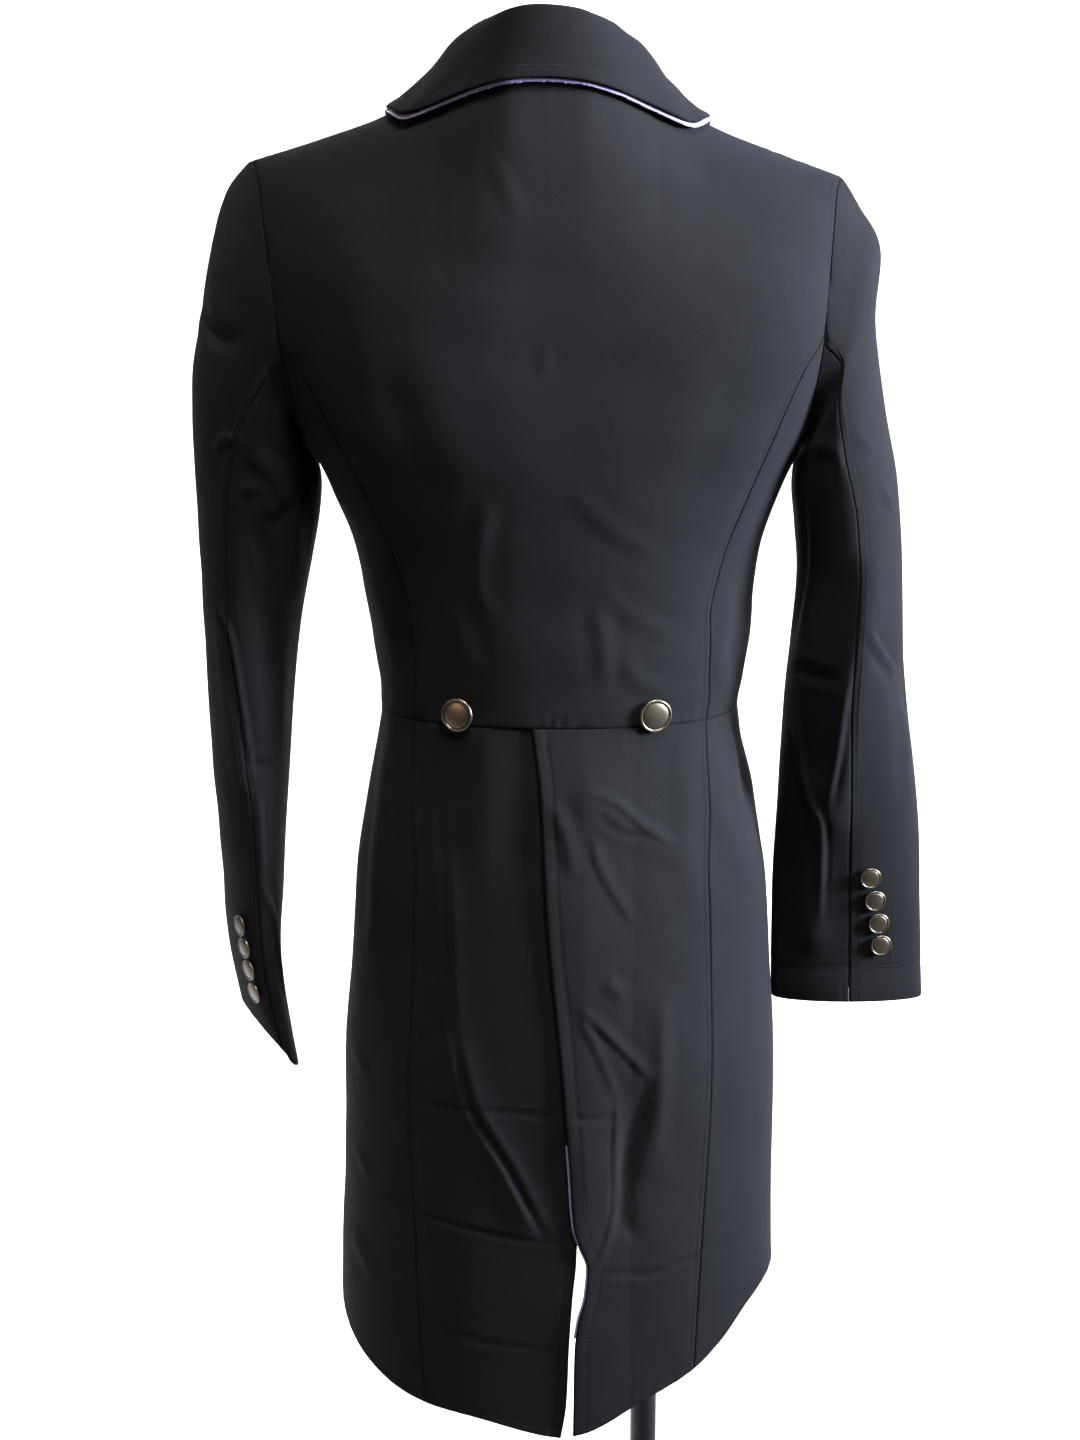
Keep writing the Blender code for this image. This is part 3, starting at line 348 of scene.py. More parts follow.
TAIL_CREASES = table(
    Crease,
    (((-82, -30), (-81, -71), (-78, -112), (-76, -176), (-70, -228)), 3.6, -1.1, 0.7),
    (((-71, -214), (-60, -261), (-36, -301), (-7, -358)), 3.2, -2.2, 0.7),
    (((-104, -261), (-50, -263), (6, -265)), 2.6, -0.9),
    (((-135, -332), (-95, -341), (-50, -350), (2, -358)), 2.4, -1.0),
    (((-102, -420), (-51, -430), (14, -437)), 2.6, -0.6),
    (((17, -41), (38, -50), (58, -67), (82, -84)), 3.6, 1.1, 0.5),
    (((25, -55), (41, -69), (67, -77)), 3.0, -0.8),
    (((-6, -46), (5, -71), (11, -100)), 5, 1.1),
    (((22, -68), (29, -95), (53, -136)), 4.5, 0.9, 0.6),
    (((13, -187), (38, -213), (65, -243)), 4.2, 1.2, 0.5),
    (((14, -190), (28, -222), (41, -254)), 3, 0.8),
    (((40, -248), (39, -293), (38, -337), (24, -380)), 3.0, 1.0, 0.6),
    (((66, -236), (54, -265), (46, -301), (44, -341), (62, -357)), 7, -1.6, 0.7),
    (((70, -186), (71, -232), (67, -296)), 5, 1.0),
    (((4, -264), (22, -267), (40, -265)), 2.6, -1.0),
    (((22, -377), (67, -381), (89, -374), (136, -361)), 2.8, -1.2),
    (((119, 2), (126, -23), (129, -43), (132, -68)), 2.6, -3.2, 1.4),
    (((100, -52), (119, -82), (138, -124)), 8, 1.3),
    (((31, -170), (45, -182)), 5, 1.3),
    (((-119, 2), (-127, -40), (-134, -110), (-138, -170)), 3.6, -1.8),
    (((-143, -238), (-133, -254)), 4, 1.2),
    (((-143, -308), (-131, -327)), 4, 1.2),
    (((-146, -370), (-126, -402)), 5, 1.3),
    (((84, -4), (88, -60), (92, -128)), 8, 1.0),
    (((-45, -4), (-48, -60), (-52, -120)), 12, 0.9),
)
# Like creases on the hidden front half of the tails
TAIL_FRONT_CREASES = table(
    Crease,
    (((-150, -120), (-147, -210), (-146, -300)), 12, 1.6),
    (((150, -90), (153, -200), (152, -330)), 12, 1.6),
)


def ease(table: Sequence, column: str, at: np.ndarray | float, key: str = "level") -> np.ndarray:
    """Read one column of a table on a smooth curve through its rows.

    Formula: cubic pieces whose slope at a row is the harmonic mean of its neighbours'
    slopes, or level where they change sign, so the curve never overshoots a row.

    Args:
        table: Rows with named columns.
        column: Column to read.
        at: Keys to read it at.
        key: Column that holds the keys.

    Returns:
        The values at the keys.
    """
    keys = np.array([getattr(row, key) for row in table], float)
    values = np.array([getattr(row, column) for row in table], float)
    if keys[0] > keys[-1]:
        keys, values = keys[::-1], values[::-1]
    slopes = np.diff(values) / np.diff(keys)
    tangents = np.empty_like(values)
    product = slopes[1:] * slopes[:-1]
    tangents[1:-1] = np.where(product > 0, 2 * product / (slopes[1:] + slopes[:-1] + 1e-12), 0)
    tangents[0], tangents[-1] = slopes[0], slopes[-1]
    at = np.clip(np.asarray(at, float), keys[0], keys[-1])
    index = np.clip(np.searchsorted(keys, at, side="right") - 1, 0, len(keys) - 2)
    width = keys[index + 1] - keys[index]
    t = (at - keys[index]) / width
    start = (1 + 2 * t) * (1 - t) ** 2 * values[index] + t * (1 - t) ** 2 * width * tangents[index]
    end = t * t * (3 - 2 * t) * values[index + 1] + t * t * (t - 1) * width * tangents[index + 1]
    return start + end


def unit(vectors: np.ndarray) -> np.ndarray:
    """Scale vectors to length one."""
    return vectors / np.maximum(np.linalg.norm(vectors, axis=-1, keepdims=True), 1e-9)


def lengths(points: np.ndarray, axis: int = 0) -> np.ndarray:
    """Lengths along lines of points, from nothing at their first places.

    Args:
        points: A line or a grid of points.
        axis: The grid's axis that the lines run along.

    Returns:
        One length for each point.
    """
    steps = np.linalg.norm(np.diff(points, axis=axis), axis=-1)
    return np.concatenate([np.zeros_like(steps.take([0], axis)), np.cumsum(steps, axis)], axis)


def catmull(rows: Sequence[np.ndarray], t: np.ndarray) -> np.ndarray:
    """Catmull-Rom curve between the second and third of four rows of points."""
    a, b, c, d = rows
    return 0.5 * (2 * b + (c - a) * t + (2 * a - 5 * b + 4 * c - d) * t * t
                  + (3 * b - a - 3 * c + d) * t ** 3)


def spline(rows: np.ndarray, at: np.ndarray) -> np.ndarray:
    """Read rows of points at fractional row numbers.

    Formula: a Catmull-Rom curve through the rows, carried straight on past both ends.

    Args:
        rows: Points, the first axis being the rows.
        at: Fractional row numbers.

    Returns:
        One slice for each number.
    """
    before = np.concatenate([rows[:1] * 2 - rows[1:2], rows, rows[-1:] * 2 - rows[-2:-1]])
    at = np.asarray(at, float)
    index = np.clip(np.floor(at).astype(int), 0, len(rows) - 2)
    t = (at - index).reshape((-1,) + (1,) * (rows.ndim - 1))
    return catmull([before[index + k] for k in range(4)], t)


def fold_height(folds: Sequence[Fold], across: np.ndarray, up: np.ndarray,
                girth: float = 1.0) -> np.ndarray:
    """Height of the large folds: a bell of the distance from each fold's line.

    Args:
        folds: Folds, in the units of across and up.
        across: Places across.
        up: Heights in millimetres.
        girth: Millimetres that one unit across stands for.

    Returns:
        Heights in millimetres.
    """
    total = np.zeros(np.broadcast(across, up).shape)
    for fold in folds:
        start = np.array([fold.start[0] * girth, fold.start[1]])
        run = np.array([fold.end[0] * girth, fold.end[1]]) - start
        px, pz = across * girth - start[0], up - start[1]
        along = np.clip((px * run[0] + pz * run[1]) / (run @ run), 0, 1)
        away = np.hypot(px - along * run[0], pz - along * run[1])
        total = total + fold.height * np.exp(-(away / fold.half_width) ** 2)
    return total


def crease_height(creases: Sequence[Crease], across: np.ndarray, up: np.ndarray,
                  girth: float = 1.0) -> np.ndarray:
    """Height of the creases at places on the cloth.

    Formula: the nearest of many places on each crease's curve gives the distance off
    it. The height is a bell of that distance, narrower on the skewed side, with a
    shallow hollow beside it, and it tapers to nothing at both ends.

    Args:
        creases: Creases, in the units of across and up.
        across: Places across.
        up: Heights in millimetres.
        girth: Millimetres that one unit across stands for.

    Returns:
        Heights in millimetres.
    """
    across, up = np.broadcast_arrays(across, up)
    place = np.stack([across.ravel() * girth, up.ravel()], -1)
    total = np.zeros(len(place))
    for crease in creases:
        path = np.array(crease.path, float) * np.array([girth, 1.0])
        curve = spline(path, np.linspace(0, len(path) - 1, 12 * len(path)))
        width = crease.half_width
        low, high = curve.min(0) - 4 * width, curve.max(0) + 4 * width
        near = np.flatnonzero(((place > low) & (place < high)).all(1))
        if not len(near):
            continue
        run = unit(np.gradient(curve, axis=0))
        reach = lengths(curve)
        gap = place[near, None] - curve[None]
        nearest = (gap ** 2).sum(-1).argmin(1)
        gap = gap[np.arange(len(near)), nearest]
        along = reach[nearest] + (gap * run[nearest]).sum(-1)
        off = gap[:, 0] * run[nearest, 1] - gap[:, 1] * run[nearest, 0]
        off = off / (width * np.where(off > 0, crease.skew, 1.0))
        taper = np.clip(np.minimum(along, reach[-1] - along) / (0.3 * reach[-1]), 0, 1)
        bell = np.exp(-off ** 2) - 0.35 * np.exp(-(np.abs(off) - 1.9) ** 2)
        total[near] += crease.height * np.sin(taper * pi / 2) * bell
    return total.reshape(across.shape)


@dataclass(frozen=True)
class CoatBody:
    """The one surface from which the bodice, the fronts and the tails are cut."""

    blade: float = 260.0
    ridge_tilt: float = 0.027
    shoulder: float = 366.0
    side_top: float = 262.0
    underarm: float = 182.0
    upper_share: float = 0.27
    half_share: float = 0.24
    cloth: float = 1.6

    def point(self, share: np.ndarray | float, level: np.ndarray | float,
              tilted: bool = True) -> np.ndarray:
        """Points on the coat's outer surface.

        Formula: superellipse sections up to the blade, then a quarter turn over to the
        neck and shoulder line.

        Args:
            share: Way round: 0 middle back, 1 right side, 2 middle front, negative left.
            level: Height, or above the blade the height at the shoulder's tip.
            tilted: Whether the shoulder line falls towards the right.

        Returns:
            Points in millimetres.
        """
        share, level = np.broadcast_arrays(np.asarray(share, float), np.asarray(level, float))
        across = np.sin(share * pi / 2)
        square = ease(BODY, "square", level)
        reach = np.clip(np.abs(across), 0, 1)
        depth_share = np.maximum(1 - reach ** square, 0) ** (1 / square)
        at_back = np.abs((share + 2) % 4 - 2) <= 1
        out = across * ease(BODY, "half_width", level)
        x = out + ease(BODY, "lean", level)
        depth = np.where(at_back, -ease(BODY, "back", level), ease(BODY, "front", level))
        y = depth * depth_share
        turn = np.clip((level - self.blade) / (self.shoulder - self.blade), 0, 1.2) * pi / 2
        ridge_height = ease(RIDGE, "height", np.abs(out), "out") - self.ridge_tilt * out * tilted
        ridge_depth = ease(RIDGE, "depth", np.abs(out), "out")
        roundness = 1 + 0.6 * (1 - reach)
        fall = np.sign(np.cos(turn)) * np.abs(np.cos(turn)) ** roundness
        over = level > self.blade
        y = np.where(over, ridge_depth + (y - ridge_depth) * fall, y)
        z = np.where(over, self.blade + (ridge_height - self.blade) * np.sin(turn), level)
        return np.stack([x, y, z], -1)

    def normal(self, share: np.ndarray | float, level: np.ndarray | float) -> np.ndarray:
        """Outward directions, from the slopes round and up, shared at the shoulder line."""
        share, level = np.broadcast_arrays(np.asarray(share, float), np.asarray(level, float))
        level = np.minimum(level, self.shoulder - 1.5)

        def slope(place: np.ndarray) -> np.ndarray:
            """Direction square to the surface at a share."""
            round_step = self.point(place + 0.01, level) - self.point(place - 0.01, level)
            rise_step = self.point(place, level + 1.0) - self.point(place, level - 1.0)
            return unit(np.cross(round_step, rise_step))

        own = slope(share)
        across_ridge = np.where(share < 0, -2, 2) - share
        at_ridge = (level > self.shoulder - 2.0)[..., None]
        return np.where(at_ridge, unit(own + slope(across_ridge)), own)

    def face(self, share: np.ndarray | float,
             level: np.ndarray | float) -> tuple[np.ndarray, np.ndarray]:
        """Points on the outer surface and their outward directions."""
        return self.point(share, level), self.normal(share, level)

    def share_at(self, out: np.ndarray | float, level: np.ndarray | float) -> np.ndarray:
        """Share of the way round, on the back, at a distance from the middle."""
        ratio = np.clip(np.asarray(out, float) / ease(BODY, "half_width", level), -1, 1)
        return np.arcsin(ratio) * 2 / pi

    def level_at(self, out: np.ndarray | float, height: np.ndarray | float) -> np.ndarray:
        """Level of a place from its real height."""
        top = ease(RIDGE, "height", np.abs(out), "out")
        sine = np.clip((height - self.blade) / (top - self.blade), 0, 1)
        over = self.blade + (self.shoulder - self.blade) * np.arcsin(sine) * 2 / pi
        return np.where(np.asarray(height) > self.blade, over, height)

    def armhole(self, f: np.ndarray) -> tuple[np.ndarray, np.ndarray]:
        """Share and level of the armhole loop on the right.

        Args:
            f: Way round: 0 the shoulder's tip, down the back to 0.5 under the arm.

        Returns:
            Shares and levels.
        """
        f = np.asarray(f, float) % 1.0
        behind = np.minimum(f, 1 - f)
        fall = np.clip(behind / self.upper_share, 0, 1)
        level = self.shoulder - (self.shoulder - self.side_top) * fall
        share = ease(SEAMS, "armhole", level)
        swing = np.clip((behind - self.upper_share) / (0.5 - self.upper_share), 0, 1) * pi / 2
        under = behind > self.upper_share
        drop = (self.side_top - self.underarm) * np.sin(swing)
        level = np.where(under, self.side_top - drop, level)
        share = np.where(under, 1 - self.half_share * np.cos(swing), share)
        return np.where(f > 0.5, 2 - share, share), level

    def armhole_point(self, f: np.ndarray, side: Side) -> np.ndarray:
        """Points on one side's armhole loop."""
        share, level = self.armhole(f)
        return self.point(side.value * share, level)


COAT = CoatBody()


@dataclass(frozen=True)
class SleeveTube:
    """The surface of one sleeve, from the armhole loop to the cuff."""

    side: Side
    rings: tuple[Ring, ...]
    folds: tuple[Fold, ...]
    creases: tuple[Crease, ...]
    girth: float = 290.0

    def plain(self, f: np.ndarray, step: np.ndarray) -> np.ndarray:
        """Points of the tube without its folds.

        Formula: ellipses set square to the sleeve's run, the first few blended into the
        armhole loop, joined by Catmull-Rom curves down the sleeve.

        Args:
            f: Way round: 0 outer side, 0.25 back, 0.5 inner side.
            step: Way down, in ring numbers from the armhole loop.

        Returns:
            Points in millimetres.
        """
        loop = COAT.armhole_point(f, self.side)
        ends = COAT.armhole_point(np.array([0.0, 0.5]), self.side)
        turn = 2 * pi * f[..., None]
        weight = (1 - np.cos(turn)) / 2
        flip = np.array([self.side.value, 1, 1])
        rows = [loop]
        for number, ring in enumerate(self.rings):
            outer = np.array([ring.out_x, ring.mid_y, ring.out_z])
            inner = np.array([ring.in_x, ring.mid_y, ring.in_z])
            middle, outward = (outer + inner) / 2, (outer - inner) / 2
            backward = np.array([-ring.swing, -ring.half_depth, 0.0])
            row = (middle + np.cos(turn) * outward + np.sin(turn) * backward) * flip
            shift = (1 - weight) * ((middle + outward) * flip - ends[0])
            shift = shift + weight * ((middle - outward) * flip - ends[1])
            blend = min(max(number - 0.5, 0) / 3, 1)
            rows.append((1 - blend) * (loop + shift) + blend * row)
        rows = np.array([rows[0] * 2 - rows[1], *rows, rows[-1] * 2 - rows[-2]])
        index = np.clip(np.floor(step).astype(int), 0, len(self.rings) - 1)
        t = (step - index)[..., None]
        near = (np.take_along_axis(rows, (index + k)[None, ..., None], 0)[0] for k in range(4))
        return catmull(list(near), t)

    def surface(self, f: np.ndarray, step: np.ndarray) -> tuple[np.ndarray, np.ndarray]:
        """Points and outward directions, with the large folds raised.

        Args:
            f: Way round.
            step: Way down, in ring numbers.

        Returns:
            Points and directions.
        """
        f, step = np.broadcast_arrays(np.asarray(f, float), np.asarray(step, float))
        points = self.plain(f, step)
        round_step = self.plain(f + 0.004, step) - self.plain(f - 0.004, step)
        low = np.clip(step - 0.02, 0, len(self.rings))
        high = np.clip(step + 0.02, 0, len(self.rings))
        down_step = self.plain(f, high) - self.plain(f, low)
        normal = unit(np.cross(round_step, down_step)) * self.side.value
        height = fold_height(self.folds, f % 1.0, points[..., 2], self.girth)
        return points + normal * height[..., None], normal

    def step_at(self, height: float) -> float:
        """Ring number at a height on the sleeve's middle line."""
        heights = np.array([(ring.out_z + ring.in_z) / 2 for ring in self.rings])
        return 1 + float(np.interp(-height, -heights, np.arange(len(self.rings))))


RIGHT_TUBE = SleeveTube(Side.RIGHT, SLEEVE_RIGHT, SLEEVE_FOLDS_RIGHT, SLEEVE_CREASES_RIGHT)
LEFT_TUBE = SleeveTube(Side.LEFT, SLEEVE_LEFT, SLEEVE_FOLDS_LEFT, SLEEVE_CREASES_LEFT)


def make_group(name: str, inputs: dict[str, str], outputs: dict[str, str]) -> tuple:
    """Start a shader node group.

    Args:
        name: The group's name.
        inputs: Socket types by name.
        outputs: Socket types by name.

    Returns:
        The group, its input node and its output node.
    """
    group = bpy.data.node_groups.new(name, "ShaderNodeTree")
    for label, kind in inputs.items():
        group.interface.new_socket(name=label, in_out="INPUT", socket_type=kind)
    for label, kind in outputs.items():
        group.interface.new_socket(name=label, in_out="OUTPUT", socket_type=kind)
    return group, group.nodes.new("NodeGroupInput"), group.nodes.new("NodeGroupOutput")


class Wiring:
    """Short calls that add and join the nodes of one tree."""

    def __init__(self, tree: bpy.types.NodeTree) -> None:
        """Keep the tree."""
        self.tree = tree

    def node(self, kind: str, **settings: object) -> bpy.types.Node:
        """Add a node with its settings."""
        made = self.tree.nodes.new(kind)
        for key, value in settings.items():
            setattr(made, key, value)
        return made

    def place(self) -> bpy.types.NodeSocket:
        """Object coordinates."""
        return self.node("ShaderNodeTexCoord").outputs["Object"]

    def feed(self, socket: bpy.types.NodeSocket, value: object) -> None:
        """Join a socket to an output, or set its number."""
        if isinstance(value, bpy.types.NodeSocket):
            self.tree.links.new(value, socket)
        else:
            socket.default_value = value

    def math(self, operation: str, *values: object) -> bpy.types.NodeSocket:
        """Add a Math node and return its result."""
        made = self.node("ShaderNodeMath", operation=operation)
        for socket, value in zip(made.inputs, values):
            self.feed(socket, value)
        return made.outputs[0]

    def blend(self, first: object, weight: float, second: object,
              other: float) -> bpy.types.NodeSocket:
        """Add two values, each times its weight."""
        return self.math("MULTIPLY_ADD", first, weight, self.math("MULTIPLY", second, other))

    def remap(self, value: object, low: float, high: float, new_low: float,
              new_high: float) -> bpy.types.NodeSocket:
        """Carry a value from one range to another, held at both ends."""
        made = self.node("ShaderNodeMapRange", clamp=True)
        for socket, item in zip(made.inputs, (value, low, high, new_low, new_high)):
            self.feed(socket, item)
        return made.outputs[0]

    def noise(self, place: object, scale: float, detail: float = 2.0,
              roughness: float = 0.5) -> bpy.types.NodeSocket:
        """Add a noise texture and return its value."""
        made = self.node("ShaderNodeTexNoise")
        self.feed(made.inputs["Vector"], place)
        made.inputs["Scale"].default_value = scale
        made.inputs["Detail"].default_value = detail
        made.inputs["Roughness"].default_value = roughness
        return made.outputs[0]

    def mix(self, share: object, first: object, second: object) -> bpy.types.NodeSocket:
        """Mix two colours by a share."""
        made = self.node("ShaderNodeMix", data_type="RGBA")
        self.feed(made.inputs[0], share)
        self.feed(made.inputs[6], first)
        self.feed(made.inputs[7], second)
        return made.outputs[2]


def principled(name: str) -> tuple[bpy.types.Material, Wiring, bpy.types.Node]:
    """A new material, its wiring and its Principled shader."""
    material = bpy.data.materials.new(name)
    material.use_nodes = True
    tree = material.node_tree
    return material, Wiring(tree), tree.nodes["Principled BSDF"]


def add_object(name: str, data: bpy.types.ID) -> bpy.types.Object:
    """A new object in the scene."""
    item = bpy.data.objects.new(name, data)
    bpy.context.scene.collection.objects.link(item)
    return item


def twill_group() -> bpy.types.NodeTree:
    """Fine twill: diagonal ribs crossed by single threads, with slubs.

    Returns:
        A group that puts out a height from 0 to 1 and a tone from 0 to 1.
    """
    group, start, end = make_group(
        "FineTwill",
        {"Cloth": "NodeSocketVector", "Threads": "NodeSocketFloat", "Slub": "NodeSocketFloat"},
        {"Height": "NodeSocketFloat", "Tone": "NodeSocketFloat"})
    wire = Wiring(group)
    split = wire.node("ShaderNodeSeparateXYZ")
    wire.feed(split.inputs[0], start.outputs["Cloth"])
    threads = start.outputs["Threads"]
    across = wire.math("MULTIPLY", split.outputs[0], threads)
    along = wire.math("MULTIPLY", split.outputs[1], threads)
    ribs = wire.math("SINE", wire.math("MULTIPLY", wire.math("ADD", across, along), pi))
    picks = wire.math("SINE", wire.math("MULTIPLY", wire.math("SUBTRACT", along, across), 2 * pi))
    weave = wire.math("MULTIPLY_ADD", picks, 0.25, wire.math("MULTIPLY_ADD", ribs, 0.25, 0.5))
    slubs = wire.noise(start.outputs["Cloth"], 900.0, 3.0, 0.6)
    wire.feed(end.inputs["Height"], wire.math("MULTIPLY_ADD", slubs, start.outputs["Slub"], weave))
    nap = wire.remap(wire.noise(start.outputs["Cloth"], 620.0, 3.0, 0.7), 0.32, 0.68, 0.0, 1.0)
    wire.feed(end.inputs["Tone"], wire.blend(slubs, 0.3, nap, 0.7))
    return group


def wear_and_shade_group() -> bpy.types.NodeTree:
    """Slow unevenness, light rubbing and painted seam shade: a haze that drifts over the piece.

    Returns:
        A group that puts out a haze mask, and a mask that is rubbing on metal and painted seam
        shade on cloth.
    """
    group, start, end = make_group(
        "WearAndSeamShade",
        {"Place": "NodeSocketVector", "Edge": "NodeSocketFloat"},
        {"Haze": "NodeSocketFloat", "Rub": "NodeSocketFloat"})
    wire = Wiring(group)
    broad = wire.noise(start.outputs["Place"], 14.0, 3.0, 0.55)
    fine = wire.noise(start.outputs["Place"], 160.0, 2.0, 0.6)
    haze = wire.blend(fine, 0.35, broad, 0.65)
    wire.feed(end.inputs["Haze"], wire.remap(haze, 0.35, 0.65, 0.0, 1.0))
    # The edge mark broken up by noise: rubbing on metal, painted seam shade on cloth
    wire.feed(end.inputs["Rub"], wire.math("MULTIPLY", start.outputs["Edge"],
                                           wire.remap(fine, 0.4, 0.6, 0.3, 1.0)))
    return group


@dataclass(frozen=True)
class Finish:
    """Base of every finish: a Principled shader with its coordinates and groups."""

    name: str
    colour: tuple[float, float, float]
    second: tuple[float, float, float]
    roughness: float
    bump_depth: float = 0.0001
    sheen: float = 0.0
    sheen_roughness: float = 0.5

    def start(self) -> tuple[bpy.types.Material, Wiring, bpy.types.Node, bpy.types.Node]:
        """Make the material.

        Returns:
            The material, its wiring, its shader and its group node of haze, rubbing and painted
            seam shade.
        """
        material, wire, shader = principled(self.name)
        shader.inputs["Sheen Weight"].default_value = self.sheen
        shader.inputs["Sheen Roughness"].default_value = self.sheen_roughness
        wear = wire.node("ShaderNodeGroup", node_tree=GROUPS["wear"])
        wire.feed(wear.inputs["Place"], wire.place())
        edge = wire.node("ShaderNodeAttribute", attribute_name="edge")
        wire.feed(wear.inputs["Edge"], edge.outputs["Fac"])
        return material, wire, shader, wear

    def bump(self, wire: Wiring, shader: bpy.types.Node, height: object) -> None:
        """Raise the surface by a height."""
        bump = wire.node("ShaderNodeBump")
        bump.inputs["Strength"].default_value = 1.0
        bump.inputs["Distance"].default_value = self.bump_depth
        wire.feed(bump.inputs["Height"], height)
        wire.feed(shader.inputs["Normal"], bump.outputs["Normal"])

    def paint(self, wire: Wiring, shader: bpy.types.Node, share: object, spread: float,
              shade: object = 0.0) -> None:
        """Mix the two colours and vary the roughness by a share, and darken by a shade."""
        colour = wire.mix(share, (*self.colour, 1.0), (*self.second, 1.0))
        wire.feed(shader.inputs["Base Color"], wire.mix(shade, colour, SHADE_BLACK))
        wire.feed(shader.inputs["Roughness"],
                  wire.remap(share, 0.0, 1.0, self.roughness, self.roughness + spread))


@dataclass(frozen=True)
class WovenFinish(Finish):
    """Woven cloth with a soft sheen: the coat's twill and its smooth lining."""

    threads: float = 2200.0
    slub: float = 0.3
    sheen: float = 0.02
    sheen_roughness: float = 0.45
    seam_shade: float = 0.85
    specular: float = 0.05
    sheen_tint: tuple[float, float, float] = (0.55, 0.64, 0.9)

    def material(self) -> bpy.types.Material:
        """The finished material."""
        material, wire, shader, wear = self.start()
        uv = wire.node("ShaderNodeUVMap", uv_map="Cloth")
        twill = wire.node("ShaderNodeGroup", node_tree=GROUPS["twill"])
        wire.feed(twill.inputs["Cloth"], uv.outputs["UV"])
        twill.inputs["Threads"].default_value = self.threads
        twill.inputs["Slub"].default_value = self.slub
        tone = wire.blend(twill.outputs["Tone"], 0.7, wear.outputs["Haze"], 0.2)
        # Painted seam shade: the twill is mixed towards near-black at its edges and under stitch
        # rows
        self.paint(wire, shader, tone, -0.08,
                   wire.math("MULTIPLY", wear.outputs["Rub"], self.seam_shade))
        self.bump(wire, shader, twill.outputs["Height"])
        shader.inputs["Sheen Tint"].default_value = (*self.sheen_tint, 1.0)
        shader.inputs["Specular IOR Level"].default_value = self.specular
        return material


@dataclass(frozen=True)
class FeltFinish(Finish):
    """Pressed wool felt with a fuzzy nap."""

    sheen: float = 0.6

    def material(self) -> bpy.types.Material:
        """The finished material."""
        material, wire, shader, wear = self.start()
        nap = wire.noise(wire.place(), 2600.0, 5.0, 0.75)
        clumps = wire.noise(wire.place(), 420.0, 3.0, 0.6)
        share = wire.blend(clumps, 0.7, wear.outputs["Haze"], 0.3)
        self.paint(wire, shader, share, 0.04)
        self.bump(wire, shader, wire.math("MULTIPLY_ADD", clumps, 0.5, nap))
        return material


@dataclass(frozen=True)
class MetalFinish(Finish):
    """Metal darkened in its hollows and rubbed bright on its edges."""

    grain: float = 900.0

    def material(self) -> bpy.types.Material:
        """The finished material."""
        material, wire, shader, wear = self.start()
        pits = wire.noise(wire.place(), self.grain, 4.0, 0.6)
        dull = wire.blend(wear.outputs["Haze"], 0.4, pits, 0.5)
        share = wire.math("SUBTRACT", dull, wire.math("MULTIPLY", wear.outputs["Rub"], 0.8))
        self.paint(wire, shader, wire.remap(share, 0.0, 0.8, 0.0, 1.0), 0.18)
        self.bump(wire, shader, pits)
        shader.inputs["Metallic"].default_value = 1.0
        return material


@dataclass(frozen=True)
class JerseyFinish(Finish):
    """Stretched knit cover with fine upright ribs."""

    ribs: float = 900.0
    sheen: float = 0.3

    def material(self) -> bpy.types.Material:
        """The finished material."""
        material, wire, shader, wear = self.start()
        split = wire.node("ShaderNodeSeparateXYZ")
        wire.feed(split.inputs[0], wire.place())
        rows = wire.math("SINE", wire.math("MULTIPLY", split.outputs[2], self.ribs * 2 * pi))
        columns = wire.math("SINE", wire.math("MULTIPLY", split.outputs[0], self.ribs * 1.4 * pi))
        knit = wire.math("MULTIPLY_ADD", wire.math("MULTIPLY", rows, columns), 0.25, 0.5)
        self.paint(wire, shader, wire.blend(wear.outputs["Haze"], 0.5, knit, 0.4), 0.05)
        self.bump(wire, shader, knit)
        return material


GROUPS = {"twill": twill_group(), "wear": wear_and_shade_group()}
TWILL = WovenFinish(
    "coat_twill", (0.0018, 0.0018, 0.0022), (0.0070, 0.0071, 0.0088), 0.84, 0.00012)
LINING = WovenFinish(
    "lining_satin", (0.006, 0.006, 0.007), (0.012, 0.012, 0.014), 0.42, 0.00002,
    threads=4000.0, slub=0.1, sheen=0.05)
THREAD = WovenFinish(
    "sewing_thread", (0.0065, 0.0065, 0.0078), (0.0165, 0.0168, 0.0195), 0.55, 0.00004,
    threads=6000.0, slub=0.2, sheen=0.04, seam_shade=0.0)
FELT = FeltFinish("lilac_felt", (0.088, 0.070, 0.20), (0.16, 0.138, 0.29), 0.92, 0.0004)
PEWTER = MetalFinish(
    "antique_pewter", (0.125, 0.105, 0.082), (0.024, 0.019, 0.0145), 0.34, 0.00008)
JERSEY = JerseyFinish("form_jersey", (0.52, 0.49, 0.44), (0.66, 0.63, 0.58), 0.82, 0.0002)
SATIN_STEEL = MetalFinish(
    "satin_steel", (0.040, 0.041, 0.046), (0.018, 0.018, 0.021), 0.34, 0.00003, grain=1800.0)


@cache
def dress(finish: Finish) -> bpy.types.Material:
    """The material of a finish, made once."""
    return finish.material()


